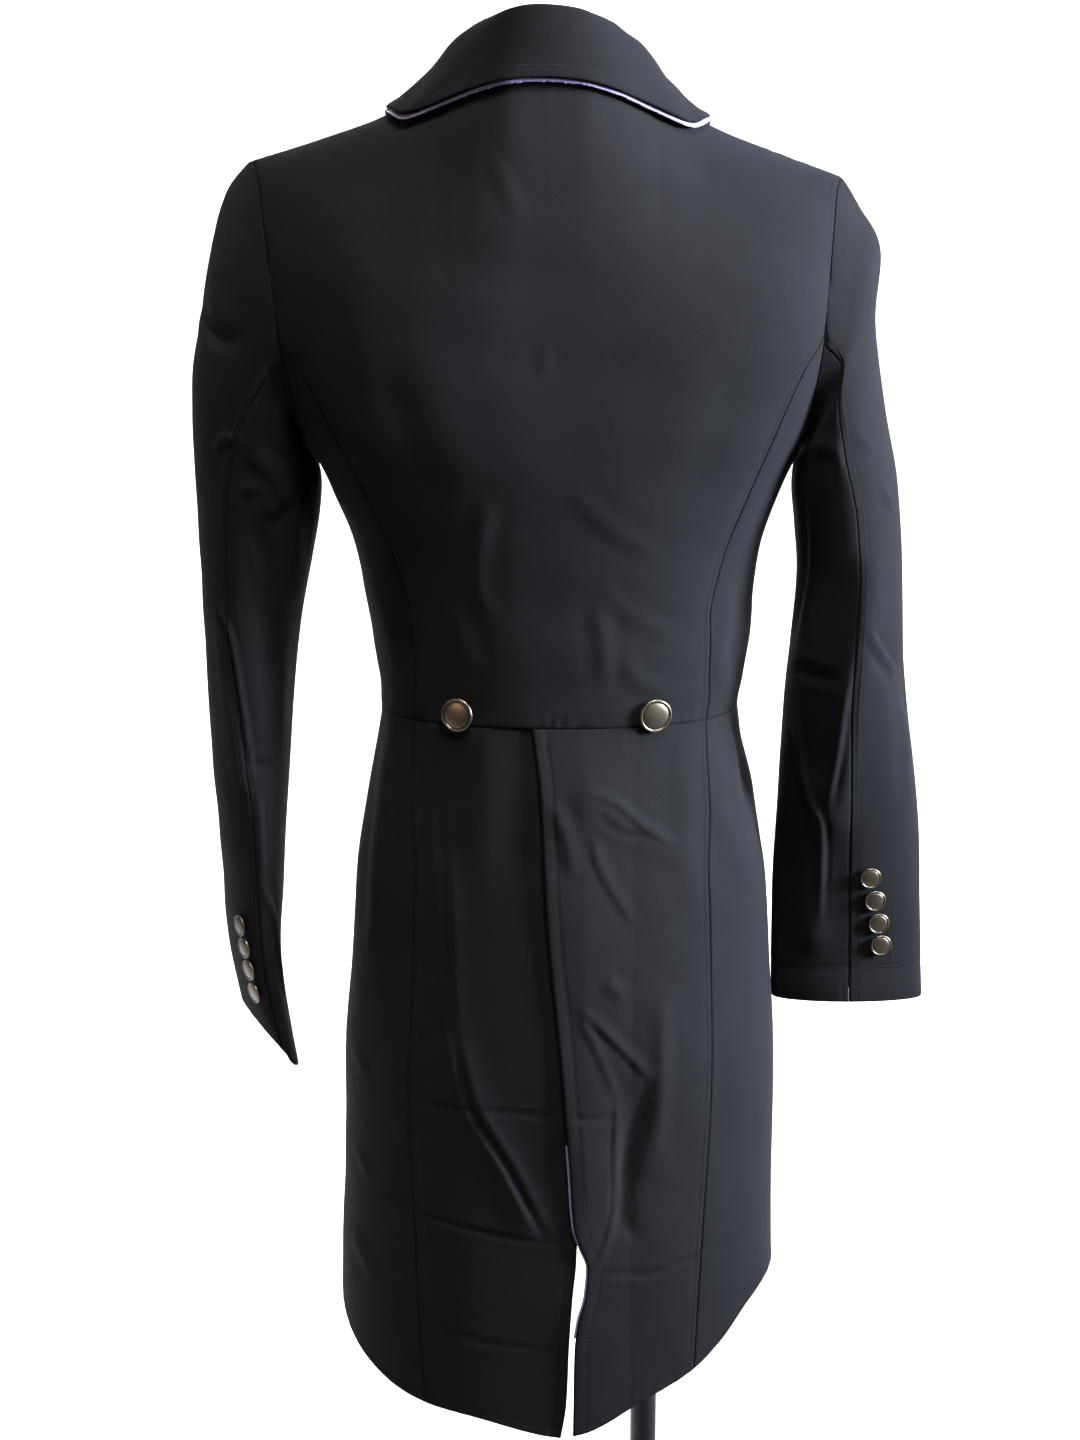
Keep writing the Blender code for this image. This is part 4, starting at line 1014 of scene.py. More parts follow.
@dataclass
class Piece:
    """A finished mesh: its points, faces, cloth places and edge mark, which is rubbing on metal and
    painted seam shade on cloth.
    """

    name: str
    points: np.ndarray
    faces: np.ndarray
    finishes: tuple[Finish, ...]
    uv: np.ndarray | None = None
    edge: np.ndarray | None = None
    index: np.ndarray | None = None

    def build(self, slot: Slot, nodes: Sequence[str] = ()) -> bpy.types.Object:
        """Make the object, put it on the root body and dress it.

        Args:
            slot: The record's material slot; not used.
            nodes: CAD nodes that it stands for.

        Returns:
            The object.
        """
        mesh = bpy.data.meshes.new(self.name)
        world = (self.points + np.array([0, 0, WAIST_HEIGHT])) * MM
        mesh.from_pydata(world.tolist(), [], self.faces.tolist())
        loops = np.empty(len(mesh.loops), np.int32)
        mesh.loops.foreach_get("vertex_index", loops)
        if self.uv is not None:
            layer = mesh.uv_layers.new(name="Cloth")
            layer.data.foreach_set("uv", (self.uv[loops] * MM).ravel().astype(np.float32))
        wear = np.zeros(len(self.points)) if self.edge is None else self.edge
        mark = mesh.attributes.new("edge", "FLOAT", "POINT")
        mark.data.foreach_set("value", wear.astype(np.float32))
        for finish in self.finishes:
            mesh.materials.append(dress(finish))
        if self.index is not None:
            mesh.polygons.foreach_set("material_index", self.index.astype(np.int32))
        mesh.shade_smooth()
        mesh.update()
        item = add_object(self.name, mesh)
        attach(item, "root")
        if nodes:
            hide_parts(*nodes)
        LOG.info("%s: %d points, %d faces", self.name, len(self.points), len(self.faces))
        return item


def grid_faces(rows: int, columns: int, first: int = 0, wrap: bool = False) -> np.ndarray:
    """Four-cornered faces of a grid of points.

    Args:
        rows: Rows of points.
        columns: Points in a row.
        first: Number of the first point.
        wrap: Whether each row closes on itself.

    Returns:
        Point numbers, four to a face.
    """
    steps = columns if wrap else columns - 1
    i, j = np.meshgrid(np.arange(rows - 1), np.arange(steps), indexing="ij")
    k = (j + 1) % columns
    corners = [i * columns + j, i * columns + k, (i + 1) * columns + k, (i + 1) * columns + j]
    return np.stack(corners, -1).reshape(-1, 4) + first


def turned(outline: np.ndarray, ends: Sequence[float],
           sides: int) -> tuple[np.ndarray, np.ndarray]:
    """Turn a half section round the Z axis and close both its ends.

    Args:
        outline: Distances from the axis and heights, from the bottom up.
        ends: Heights of the two middle points.
        sides: Points in a ring.

    Returns:
        Points and faces.
    """
    turn = np.arange(sides) * 2 * pi / sides
    out, up = outline[:, :1], outline[:, 1:]
    rings = np.stack([out * np.cos(turn), out * np.sin(turn), np.repeat(up, sides, 1)], -1)
    count = len(outline) * sides
    low = np.arange(sides)
    top = low + count - sides
    faces = grid_faces(len(outline), sides, wrap=True).tolist()
    faces += np.stack([np.full(sides, count), np.roll(low, -1), low], -1).tolist()
    faces += np.stack([np.full(sides, count + 1), top, np.roll(top, -1)], -1).tolist()
    middles = [[0, 0, end] for end in ends]
    return np.concatenate([rings.reshape(-1, 3), middles]), np.array(faces, dtype=object)


@dataclass(frozen=True)
class Shell:
    """Turns a grid of outer points into a thin wall with rounded edges."""

    thickness: float = 1.6
    bulge: float = 0.12

    def build(self, name: str, outer: np.ndarray, normal: np.ndarray, uv: np.ndarray,
              edge: np.ndarray, finishes: tuple[Finish, Finish]) -> Piece:
        """The wall's mesh.

        Formula: the inner points are the outer ones moved in by the thickness, and a
        ring at half the thickness, set out a little, rounds the edge between them.

        Args:
            name: The piece's name.
            outer: Outer points, rows by columns.
            normal: Outward directions.
            uv: Places on the flat cloth in millimetres.
            edge: Painted seam shade of each point.
            finishes: Outer and inner finish.

        Returns:
            The piece.
        """
        rows, columns = outer.shape[:2]
        inner = outer - normal * self.thickness
        count = rows * columns
        number = np.arange(count).reshape(rows, columns)
        rim, inward = (np.concatenate([number[k, :-1], number[:-1, -1 - k],
                                       number[-1 - k, :0:-1], number[:0:-1, k]]) for k in (0, 1))
        flat = outer.reshape(-1, 3)
        away = unit(flat[rim] - flat[inward])
        middle = flat[rim] - normal.reshape(-1, 3)[rim] * self.thickness / 2 + away * self.bulge
        front = grid_faces(rows, columns)
        back = front[:, ::-1] + count
        ring = np.arange(len(rim)) + 2 * count
        following = np.roll(np.arange(len(rim)), -1)
        upper = np.stack([rim[following], rim, ring, ring[following]], -1)
        lower = np.stack([ring[following], ring, rim + count, rim[following] + count], -1)
        faces = np.concatenate([front, upper, lower, back])
        across = outer[rows // 2, columns // 2 + 1] - outer[rows // 2, columns // 2]
        along = outer[rows // 2 + 1, columns // 2] - outer[rows // 2, columns // 2]
        if np.cross(across, along) @ normal[rows // 2, columns // 2] < 0:
            faces = faces[:, ::-1]
        places = uv.reshape(-1, 2)
        wear = edge.ravel()
        index = np.zeros(len(faces), int)
        index[-len(back):] = 1
        return Piece(name, np.concatenate([flat, inner.reshape(-1, 3), middle]), faces, finishes,
                     np.concatenate([places, places, places[rim]]),
                     np.concatenate([wear, np.zeros_like(wear), wear[rim]]), index)


@dataclass(frozen=True)
class Stitcher:
    """Sews rows of stitches along lines on the cloth."""

    pitch: float = 2.4
    length: float = 1.75
    half_width: float = 0.36
    rise: float = 0.30
    sink: float = 0.16

    def row(self, points: np.ndarray, normals: np.ndarray) -> tuple[np.ndarray, np.ndarray]:
        """One row of stitches.

        Formula: along the line's real length, each stitch is a small spindle with four
        sides whose two tips dip into the cloth.

        Args:
            points: The line, in millimetres.
            normals: Outward directions on it.

        Returns:
            Points and faces.
        """
        reach = lengths(points)
        starts = np.arange(self.pitch / 2, max(reach[-1] - self.length, self.pitch), self.pitch)

        def at(values: np.ndarray, where: np.ndarray) -> np.ndarray:
            """Read the line's values at lengths along it."""
            return np.stack([np.interp(where, reach, values[:, k]) for k in range(3)], -1)

        tips = []
        for share in (0.0, 0.28, 0.72, 1.0):
            where = starts + self.length * share
            tips.append((at(points, where), unit(at(normals, where))))
        run = unit(tips[3][0] - tips[0][0])
        parts = [tips[0][0] - tips[0][1] * self.sink]
        for place, up in tips[1:3]:
            sideways = np.cross(run, up)
            parts.append(place + up * self.rise)
            parts.append(place + sideways * self.half_width)
            parts.append(place - up * self.sink)
            parts.append(place - sideways * self.half_width)
        parts.append(tips[3][0] - tips[3][1] * self.sink)
        stitches = np.stack(parts, 1)
        turn = np.arange(4)
        after = (turn + 1) % 4
        body = np.stack([1 + turn, 1 + after, 5 + after, 5 + turn], -1)
        tip, end = np.zeros_like(turn), np.full_like(turn, 9)
        first = np.stack([tip, 1 + after, 1 + turn, tip], -1)
        last = np.stack([end, 5 + turn, 5 + after, end], -1)
        one = np.concatenate([body, first, last])
        faces = one[None] + (np.arange(len(starts)) * 10)[:, None, None]
        return stitches.reshape(-1, 3), faces.reshape(-1, 4)

    def sew(self, name: str, lines: Sequence[tuple[np.ndarray, np.ndarray]]) -> Piece:
        """All rows of one panel as a single piece.

        Args:
            name: The piece's name.
            lines: Points and directions of each row.

        Returns:
            The piece.
        """
        points, faces, first = [], [], 0
        for line, normals in lines:
            made, quads = self.row(line, normals)
            points.append(made)
            faces.append(quads + first)
            first += len(made)
        every = np.concatenate(points)
        quads = np.concatenate(faces)
        return Piece(name, every, quads, (THREAD,), every[:, [0, 2]])


STITCHER = Stitcher()


def grid_area(points: np.ndarray) -> float:
    """Area of a grid of points in square metres, from the sides of its cells."""
    down, right = points[1:, :-1] - points[:-1, :-1], points[:-1, 1:] - points[:-1, :-1]
    return float(np.linalg.norm(np.cross(down, right), axis=2).sum()) * MM * MM


def declare(item: bpy.types.Object, points: np.ndarray, held: str, rests_on: Sequence[str]) -> None:
    """Log the size of a sheet's flat cut, worked out from its grid.

    Args:
        item: The cloth.
        points: Its outer points in millimetres.
        held: How it is held; not used.
        rests_on: What it lies on.
    """
    wide, tall = (float(lengths(points, axis).max()) * MM for axis in (1, 0))
    area = min(grid_area(points), wide * tall)
    LOG.info("%s: cut %.3f by %.3f m, %.4f square m", item.name, wide, tall, area)
    list(rests_on)


@dataclass(frozen=True)
class Row:
    """A row of stitches at a distance from one edge, between two shares of its run."""

    edge: Edge
    distance: float
    start: float = 0.0
    end: float = 1.0


def spread(length: np.ndarray, low: np.ndarray, high: np.ndarray, count: int) -> np.ndarray:
    """Distances that mark both ends closely and the middle evenly.

    Args:
        length: Whole length of each line.
        low: Marks from the start.
        high: Marks from the end.
        count: Marks between them.

    Returns:
        One line of distances for each length.
    """
    fit = np.minimum(1.0, 0.9 * length / (low[-1] + high[-1]))[:, None]
    start = low[None, :] * fit
    end = length[:, None] - high[None, ::-1] * fit
    inside = np.linspace(0, 1, count + 2)[1:-1][None, :]
    middle = start[:, -1:] + (end[:, :1] - start[:, -1:]) * inside
    return np.concatenate([start, middle, end], 1)


@dataclass
class Panel:
    """One cut piece of cloth, on a surface of two parameters that run from 0 to 1."""

    node: str
    surface: Callable[[np.ndarray, np.ndarray], tuple[np.ndarray, np.ndarray]]
    rows: tuple[Row, ...] = ()
    creases: Callable[[np.ndarray, np.ndarray, np.ndarray], np.ndarray] | None = None
    spacing: float = 4.0
    held: str = "hung"
    rests_on: tuple[str, ...] = ("form_torso",)
    pucker: float = 0.22
    seamed: tuple[Edge, ...] = (Edge.FIRST, Edge.LAST, Edge.LOW, Edge.HIGH)
    seed: int = 1
    samples: int = 49
    lines: list[tuple[np.ndarray, np.ndarray]] = field(default_factory=list)
    roll: float = 1.7
    dip: float = 0.75
    channel: float = 0.32
    groove: float = 1.2
    seam_gap: float = 0.16
    waves: tuple[float, ...] = (34.0, 52.0, 85.0, 140.0)
    wave_height: float = 0.0028
    calm: float = 9.0
    ripple: float = 11.0
    ripple_swing: float = 47.0
    ripple_swell: float = 83.0
    pucker_in: float = 4.0
    pucker_wide: float = 4.5
    edge_shade: float = 2.0
    groove_shade: float = 0.55

    def marks(self, edge: Edge) -> np.ndarray:
        """Distances from an edge that need points of their own."""
        found = {0.0, 0.5, 1.1, 2.2}
        for row in self.rows:
            if row.edge is edge:
                found |= {row.distance + self.groove * k for k in (-1, 0, 1)}
        every = np.array(sorted(found | {max(found) + 2.0}))
        return every[np.concatenate([[True], np.diff(every) > 0.2])]

    def grid(self) -> tuple[np.ndarray, np.ndarray, np.ndarray, np.ndarray]:
        """Points, directions and distances, spaced by real length on the cloth.

        Formula: a plain grid gives the lengths across and along, these are read backwards
        at the marked distances, and the surface is worked out again there.

        Returns:
            Points, directions, distance across and distance along.
        """
        base = np.linspace(0, 1, self.samples)
        s0, t0 = np.meshgrid(base, base)
        plain = self.surface(s0, t0)[0]
        reach_across, reach_along = lengths(plain, 1), lengths(plain).T
        first, last = self.marks(Edge.FIRST), self.marks(Edge.LAST)
        low, high = self.marks(Edge.LOW), self.marks(Edge.HIGH)
        columns = max(3, int(reach_across[:, -1].max() / self.spacing))
        lines = max(3, int(reach_along[:, -1].max() / self.spacing))
        wide = spread(reach_across[:, -1], first, last, columns)
        tall = spread(reach_along[:, -1], low, high, lines)
        s_rows, t_columns = (
            np.stack([np.interp(marks, run, base) for marks, run in zip(*pair)])
            for pair in ((wide, reach_across), (tall, reach_along)))
        s_guess = s_rows.mean(0)
        place = s_guess * (self.samples - 1)
        left = np.clip(place.astype(int), 0, self.samples - 2)
        part = (place - left)[None, :]
        t = t_columns[left].T * (1 - part) + t_columns[left + 1].T * part
        place = t * (self.samples - 1)
        under = np.clip(place.astype(int), 0, self.samples - 2)
        column = np.arange(t.shape[1])[None, :]
        part = place - under
        s = s_rows[under, column] * (1 - part) + s_rows[under + 1, column] * part
        points, normals = self.surface(s, t)
        return points, normals, lengths(points, 1), lengths(points)

    def drift(self, points: np.ndarray) -> np.ndarray:
        """Slow unevenness of made-up cloth, as a sum of a few long waves."""
        chance = np.random.default_rng(self.seed)
        total = np.zeros(points.shape[:2])
        for wave in self.waves:
            heading = chance.normal(size=3)
            phase = chance.uniform(0, 2 * pi)
            run = points @ (heading / np.linalg.norm(heading))
            total = total + self.wave_height * wave * np.sin(2 * pi * run / wave + phase)
        return total

    def relief(self, points: np.ndarray, normals: np.ndarray, across: np.ndarray,
               along: np.ndarray) -> tuple[np.ndarray, np.ndarray]:
        """Heights of the sewn cloth over its plain surface.

        Formula: drift, plus creases, plus ripples that fade away from each seam, less a
        rolled edge and a channel under every row of stitches.

        Args:
            points: Plain points.
            normals: Outward directions.
            across: Distance from the first column.
            along: Distance from the first row.

        Returns:
            Heights in millimetres, and the painted shade of each point, darkest at an edge and
            under stitch rows.
        """
        wide, tall = across[:, -1:], along[-1:]
        away = {Edge.FIRST: (across, along), Edge.LAST: (wide - across, along),
                Edge.LOW: (along, across), Edge.HIGH: (tall - along, across)}
        height = self.drift(points)
        if self.creases is not None:
            height = height + self.creases(points, across, along)
        nearest = np.minimum.reduce([away[edge][0] for edge in Edge])
        height = height * np.clip(nearest / self.calm, 0, 1) ** 0.7
        chance = np.random.default_rng(self.seed + 50)
        for edge in self.seamed:
            off, run = away[edge]
            wobble = chance.uniform(0, 2 * pi, 3)
            swing = 2.2 * np.sin(2 * pi * run / self.ripple_swing + wobble[0])
            ripple = np.sin(2 * pi * run / self.ripple + swing + wobble[1])
            strength = 0.55 + 0.45 * np.sin(2 * pi * run / self.ripple_swell + wobble[2])
            near_seam = np.exp(-((off - self.pucker_in) / self.pucker_wide) ** 2)
            height = height + self.pucker * ripple * strength * near_seam
        height = height - self.dip * np.clip(1 - nearest / self.roll, 0, 1) ** 2
        # Painted shade mask: darkest at each edge and under each stitch row
        shade = np.clip(1 - nearest / self.edge_shade, 0, 1)
        for row in self.rows:
            off = away[row.edge][0] - row.distance
            channel = np.clip(1 - np.abs(off) / self.groove, 0, 1)
            height = height - self.channel * channel
            shade = np.maximum(shade, self.groove_shade * channel)
        return height, shade

    def inset(self, points: np.ndarray) -> np.ndarray:
        """Draw the outer columns and rows in by half a seam gap."""
        points = points.copy()
        points[:, 0] += unit(points[:, 1] - points[:, 0]) * self.seam_gap
        points[:, -1] += unit(points[:, -2] - points[:, -1]) * self.seam_gap
        points[0] += unit(points[1] - points[0]) * self.seam_gap
        points[-1] += unit(points[-2] - points[-1]) * self.seam_gap
        return points

    def stitch_line(self, row: Row, points: np.ndarray, normals: np.ndarray, across: np.ndarray,
                    along: np.ndarray) -> tuple[np.ndarray, np.ndarray]:
        """The line of a stitch row: the grid's own line at that distance.

        Args:
            row: The stitch row.
            points: Finished outer points.
            normals: Outward directions.
            across: Distance from the first column.
            along: Distance from the first row.

        Returns:
            Points and directions.
        """
        number = int(np.argmin(np.abs(self.marks(row.edge) - row.distance)))
        upright = row.edge in (Edge.FIRST, Edge.LAST)
        if row.edge in (Edge.LAST, Edge.HIGH):
            number = -1 - number
        line = points[:, number] if upright else points[number]
        turned = normals[:, number] if upright else normals[number]
        run = (along if upright else across.T)[:, number]
        keep = (run >= row.start * run[-1]) & (run <= row.end * run[-1])
        return line[keep], turned[keep]

    def build(self) -> None:
        points, normals, across, along = self.grid()
        height, edge = self.relief(points, normals, across, along)
        outer = self.inset(points + normals * height[..., None])
        uv = np.stack([across, along], -1)
        piece = Shell(COAT.cloth).build(self.node + "_cloth", outer, normals, uv, edge,
                                        (TWILL, LINING))
        cloth = piece.build(Slot.CLOTH, (self.node,))
        sewn = [self.stitch_line(row, outer, normals, across, along) for row in self.rows]
        sewn += self.lines
        if sewn:
            STITCHER.sew(self.node + "_stitching", sewn).build(Slot.CLOTH)
        declare(cloth, outer, self.held, self.rests_on)


def upright(creases: Sequence[Crease]) -> Callable:
    """Crease heights of a panel whose creases are placed by X and height."""
    return lambda points, across, along: crease_height(creases, points[..., 0], points[..., 2])


@dataclass
class Bodice:
    """The back, the two side bodies, the two fronts and their lapels."""

    lap_lift: float = 2.7
    lap_end: float = 80.0
    lapel_lift_left: float = 2.4
    lapel_lift_right: float = 6.5
    lapel_top: float = 300.0
    front_dip: float = 22.0
    stitch_in: float = 5.2

    def back(self) -> None:
        """The one-piece back, from the waist seam to the neck."""

        def surface(s: np.ndarray, t: np.ndarray) -> tuple[np.ndarray, np.ndarray]:
            """Levels run up evenly, and shares run from one princess seam to the other."""
            level = t * COAT.shoulder
            return COAT.face((2 * s - 1) * ease(SEAMS, "princess", level), level)

        rows = (Row(Edge.FIRST, self.stitch_in), Row(Edge.LAST, self.stitch_in))
        Panel("back", surface, rows, upright(BACK_CREASES), spacing=3.4, seed=3).build()

    def side(self, side: Side) -> None:
        """A side body, from the princess seam to the underarm seam."""

        def surface(s: np.ndarray, t: np.ndarray) -> tuple[np.ndarray, np.ndarray]:
            """The top follows the armhole loop, and the sides follow the two seams."""
            angle = s * pi
            blend = 0.5 - 0.5 * np.cos(angle)
            top = COAT.side_top - (COAT.side_top - COAT.underarm) * np.sin(angle)
            level = t * top
            share, at_top = ((1 - blend) * ease(SEAMS, "princess", height)
                             + blend * ease(SEAMS, "underarm", height) for height in (level, top))
            share = share + t ** 3 * (1 - COAT.half_share * np.cos(angle) - at_top)
            return COAT.face(side.value * share, level)

        Panel("side_" + side.word, surface, creases=upright(SIDE_CREASES), spacing=3.6,
              seed=7 + side.value).build()

    def front(self, side: Side) -> None:
        """A waist-length front, lapped over the other on the right."""

        def surface(s: np.ndarray, t: np.ndarray) -> tuple[np.ndarray, np.ndarray]:
            """The hem dips to a point, and the edge follows the lap and the roll line."""
            low = -10 - self.front_dip * np.sin(s * pi) ** 2
            low = np.where(s > 0.93, low + (s - 0.93) / 0.07 * 7, low)
            level = low + (COAT.shoulder - low) * t
            inner = 2 - COAT.share_at(ease(FRONT_EDGE, "out", level), level)
            share = inner + (ease(SEAMS, "underarm", level) - inner) * s
            points, normal = COAT.face(side.value * share, level)
            if side is Side.RIGHT:
                lift = self.lap_lift * np.clip((self.lap_end - points[..., 0]) / 25, 0, 1)
                points = points + normal * lift[..., None]
            return points, normal

        rows = (Row(Edge.FIRST, self.stitch_in), Row(Edge.LOW, self.stitch_in))
        Panel("front_" + side.word, surface, rows, seed=11 + side.value).build()

    def lapel(self, side: Side, bottom: float) -> None:
        """A lapel, turned back from the roll line."""
        lift = self.lapel_lift_right if side is Side.RIGHT else self.lapel_lift_left

        def surface(s: np.ndarray, t: np.ndarray) -> tuple[np.ndarray, np.ndarray]:
            """The front's own surface between the roll line and the lapel's edge, moved out."""
            level = bottom + (self.lapel_top - bottom) * t
            inner = ease(LAPEL, "inner", level) + 1.0
            out = inner + (ease(LAPEL, "outer", level) - inner) * s
            points, normal = COAT.face(side.value * (2 - COAT.share_at(out, level)), level)
            return points + normal * lift, normal

        Panel("lapel_" + side.word, surface, (Row(Edge.LAST, self.stitch_in),), held="folded",
              rests_on=("front_" + side.word,), pucker=0.1, seed=15 + side.value).build()

    def build(self) -> None:
        """All the bodice's pieces."""
        self.back()
        for side, bottom in ((Side.LEFT, 245.0), (Side.RIGHT, 114.0)):
            self.side(side)
            self.front(side)
            self.lapel(side, bottom)


@dataclass
class Tails:
    """The four tail panels and the facing inside the vent."""

    front_share: float = 1.12
    lap_fade_start: float = 18.0
    lap_fade_end: float = 50.0
    waist_lift: float = 0.4
    waist_sink: float = 1.7
    waist_fade: float = 60.0
    facing_start: float = 0.575
    facing_end: float = 0.855
    facing_proud: float = 1.3
    felt: float = 1.0
    fuzz: float = 0.042
    vent_stitch: float = 8.6
    seam_stitch: float = 5.2
    hem_stitch: float = 5.4

    @staticmethod
    def creases(points: np.ndarray, across: np.ndarray, along: np.ndarray) -> np.ndarray:
        """Creases of the back, and like ones on the front half."""
        behind = crease_height(TAIL_CREASES, points[..., 0], points[..., 2])
        before = crease_height(TAIL_FRONT_CREASES, points[..., 0], points[..., 2])
        share = np.clip(0.5 - points[..., 1] / 40, 0, 1)
        return behind * share + before * (1 - share)

    def centre(self, side: Side, s: np.ndarray, t: np.ndarray) -> tuple[np.ndarray, np.ndarray]:
        """Surface of a centre panel, from the vent to the tail seam.

        Args:
            side: The wearer's side.
            s: Way across.
            t: Way down.

        Returns:
            Points and directions.
        """
        level = t * ease(TAIL_HEM, side.word, 0.4 * s, "share")
        first = COAT.share_at(side.value * ease(VENT, side.word, level), level)
        share = first + (ease(TAIL_SEAM, "share", level) - first) * s
        points, normal = COAT.face(side.value * share, level)
        near = np.clip(1 + level / self.waist_fade, 0, 1) ** 2
        if side is Side.RIGHT:
            fade = (self.lap_fade_end - points[..., 0]) / (self.lap_fade_end - self.lap_fade_start)
            lift = ease(VENT, "lift", level) * (1 - near) + self.waist_lift * near
            lift = lift * np.clip(fade, 0, 1)
        else:
            fade = (points[..., 0] + self.lap_fade_end) / 25
            lift = -self.waist_sink * near * np.clip(fade, 0, 1)
        lift = lift + fold_height(TAIL_FOLDS, points[..., 0], level)
        return points + normal * lift[..., None], normal

    def outside(self, side: Side, s: np.ndarray, t: np.ndarray) -> tuple[np.ndarray, np.ndarray]:
        """Surface of a side panel, from the tail seam to the cut-away front edge."""
        level = t * ease(TAIL_HEM, side.word, 0.4 + (self.front_share - 0.4) * s, "share")
        seam = ease(TAIL_SEAM, "share", level)
        share = side.value * (seam + (self.front_share - seam) * s)
        points, normal = COAT.face(share, level)
        return points + normal * fold_height(TAIL_FOLDS, points[..., 0], level)[..., None], normal

    def facing(self) -> None:
        """The felt facing that shows past the right tail's edge."""

        def surface(s: np.ndarray, t: np.ndarray) -> tuple[np.ndarray, np.ndarray]:
            """The tail's own strip beside the vent, carried past its edge and moved in."""
            down = self.facing_start + (self.facing_end - self.facing_start) * t
            points, normal = self.centre(Side.RIGHT, s * 0.2, down)
            edge = self.centre(Side.RIGHT, np.zeros_like(s), down)[0]
            beside = self.centre(Side.RIGHT, np.full_like(s, 0.02), down)[0]
            inward = unit(beside - edge)
            points = points - inward * self.facing_proud * (1 - s)[..., None]
            return points - normal * (COAT.cloth + 0.35), normal

        panel = Panel("vent_facing", surface, spacing=3.0, pucker=0.0, seed=31, dip=0.2,
                      rests_on=("tail_back_right",), held="laid")
        points, normals, across, along = panel.grid()
        fuzz = np.random.default_rng(32).normal(0, self.fuzz, points.shape[:2])
        points = points + normals * fuzz[..., None]
        uv = np.stack([across, along], -1)
        piece = Shell(self.felt).build("vent_facing_felt", points, normals, uv, np.zeros_like(fuzz),
                                       (FELT, FELT))
        felt = piece.build(Slot.FELT, ("vent_facing",))
        declare(felt, points, "laid", ("tail_back_right",))

    def build(self) -> None:
        """All the tails' pieces."""
        for side in (Side.LEFT, Side.RIGHT):
            outer_rows = (Row(Edge.LAST, self.seam_stitch), Row(Edge.HIGH, self.hem_stitch))
            centre_rows = (Row(Edge.FIRST, self.vent_stitch), *outer_rows)
            Panel("tail_back_" + side.word, lambda s, t, k=side: self.centre(k, s, t), centre_rows,
                  self.creases, spacing=2.2, seed=21 + side.value).build()
            Panel("tail_side_" + side.word, lambda s, t, k=side: self.outside(k, s, t), outer_rows,
                  self.creases, spacing=3.2, seed=25 + side.value).build()
        self.facing()


@dataclass
class Sleeves:
    """The two-piece sleeves with their cuff hems and plackets."""

    front_seam: float = -0.362
    hem_rows: tuple[float, float] = (24.0, 26.8)
    seam_stitch: float = 5.2

    def surface(self, tube: SleeveTube, far: float, s: np.ndarray,
                t: np.ndarray) -> tuple[np.ndarray, np.ndarray]:
        """Surface of one sleeve piece.

        Args:
            tube: The sleeve.
            far: Way round of the seam at the front.
            s: Way across, from the front seam to the back seam.
            t: Way down.

        Returns:
            Points and directions.
        """
        step = t * len(tube.rings)
        keys = np.arange(len(tube.rings) + 1)
        seam = np.interp(step, keys, [COAT.upper_share] + [ring.seam for ring in tube.rings])
        return tube.surface(far + (seam - far) * s, step)

    def lines(self, tube: SleeveTube, places: Sequence[tuple[float, float]]) -> tuple:
        """A stitched line through places given by share round and height."""
        f = np.array([place[0] for place in places])
        step = np.array([tube.step_at(place[1]) for place in places])
        run = np.linspace(0, len(places) - 1, 40)
        f_line = np.interp(run, np.arange(len(places)), f)
        step_line = np.interp(run, np.arange(len(places)), step)
        return tube.surface(f_line, step_line)

    def build(self) -> None:
        """Both sleeves."""
        plackets = {
            Side.RIGHT: ((0.249, -104), (0.188, -112), (0.166, -150), (0.150, -184)),
            Side.LEFT: ((0.200, -132), (0.130, -136), (0.140, -170), (0.150, -208)),
        }
        for tube in (LEFT_TUBE, RIGHT_TUBE):
            word = tube.side.word
            for prefix, far, sewn in (("sleeve_outer_", self.front_seam, True),
                                      ("sleeve_under_", 1 + self.front_seam, False)):
                rows = [Row(Edge.HIGH, distance) for distance in self.hem_rows]
                if sewn:
                    rows.append(Row(Edge.LAST, self.seam_stitch, 0.04, 1.0))

                def creases(points: np.ndarray, across: np.ndarray, along: np.ndarray,
                            kind: SleeveTube = tube, start: float = far) -> np.ndarray:
                    """The sleeve's own creases by share round and height."""
                    share = across / across[:, -1:]
                    seam = ease(kind.rings, "seam", points[..., 2], "in_z")
                    f = (start + (seam - start) * share) % 1.0
                    return crease_height(kind.creases, f, points[..., 2], kind.girth)

                Panel(prefix + word, lambda s, t, k=tube, b=far: self.surface(k, b, s, t),
                      tuple(rows), creases, spacing=3.3,
                      seed=41 + tube.side.value + int(10 * far),
                      lines=[self.lines(tube, plackets[tube.side])] if sewn else [],
                      rests_on=("back",)).build()


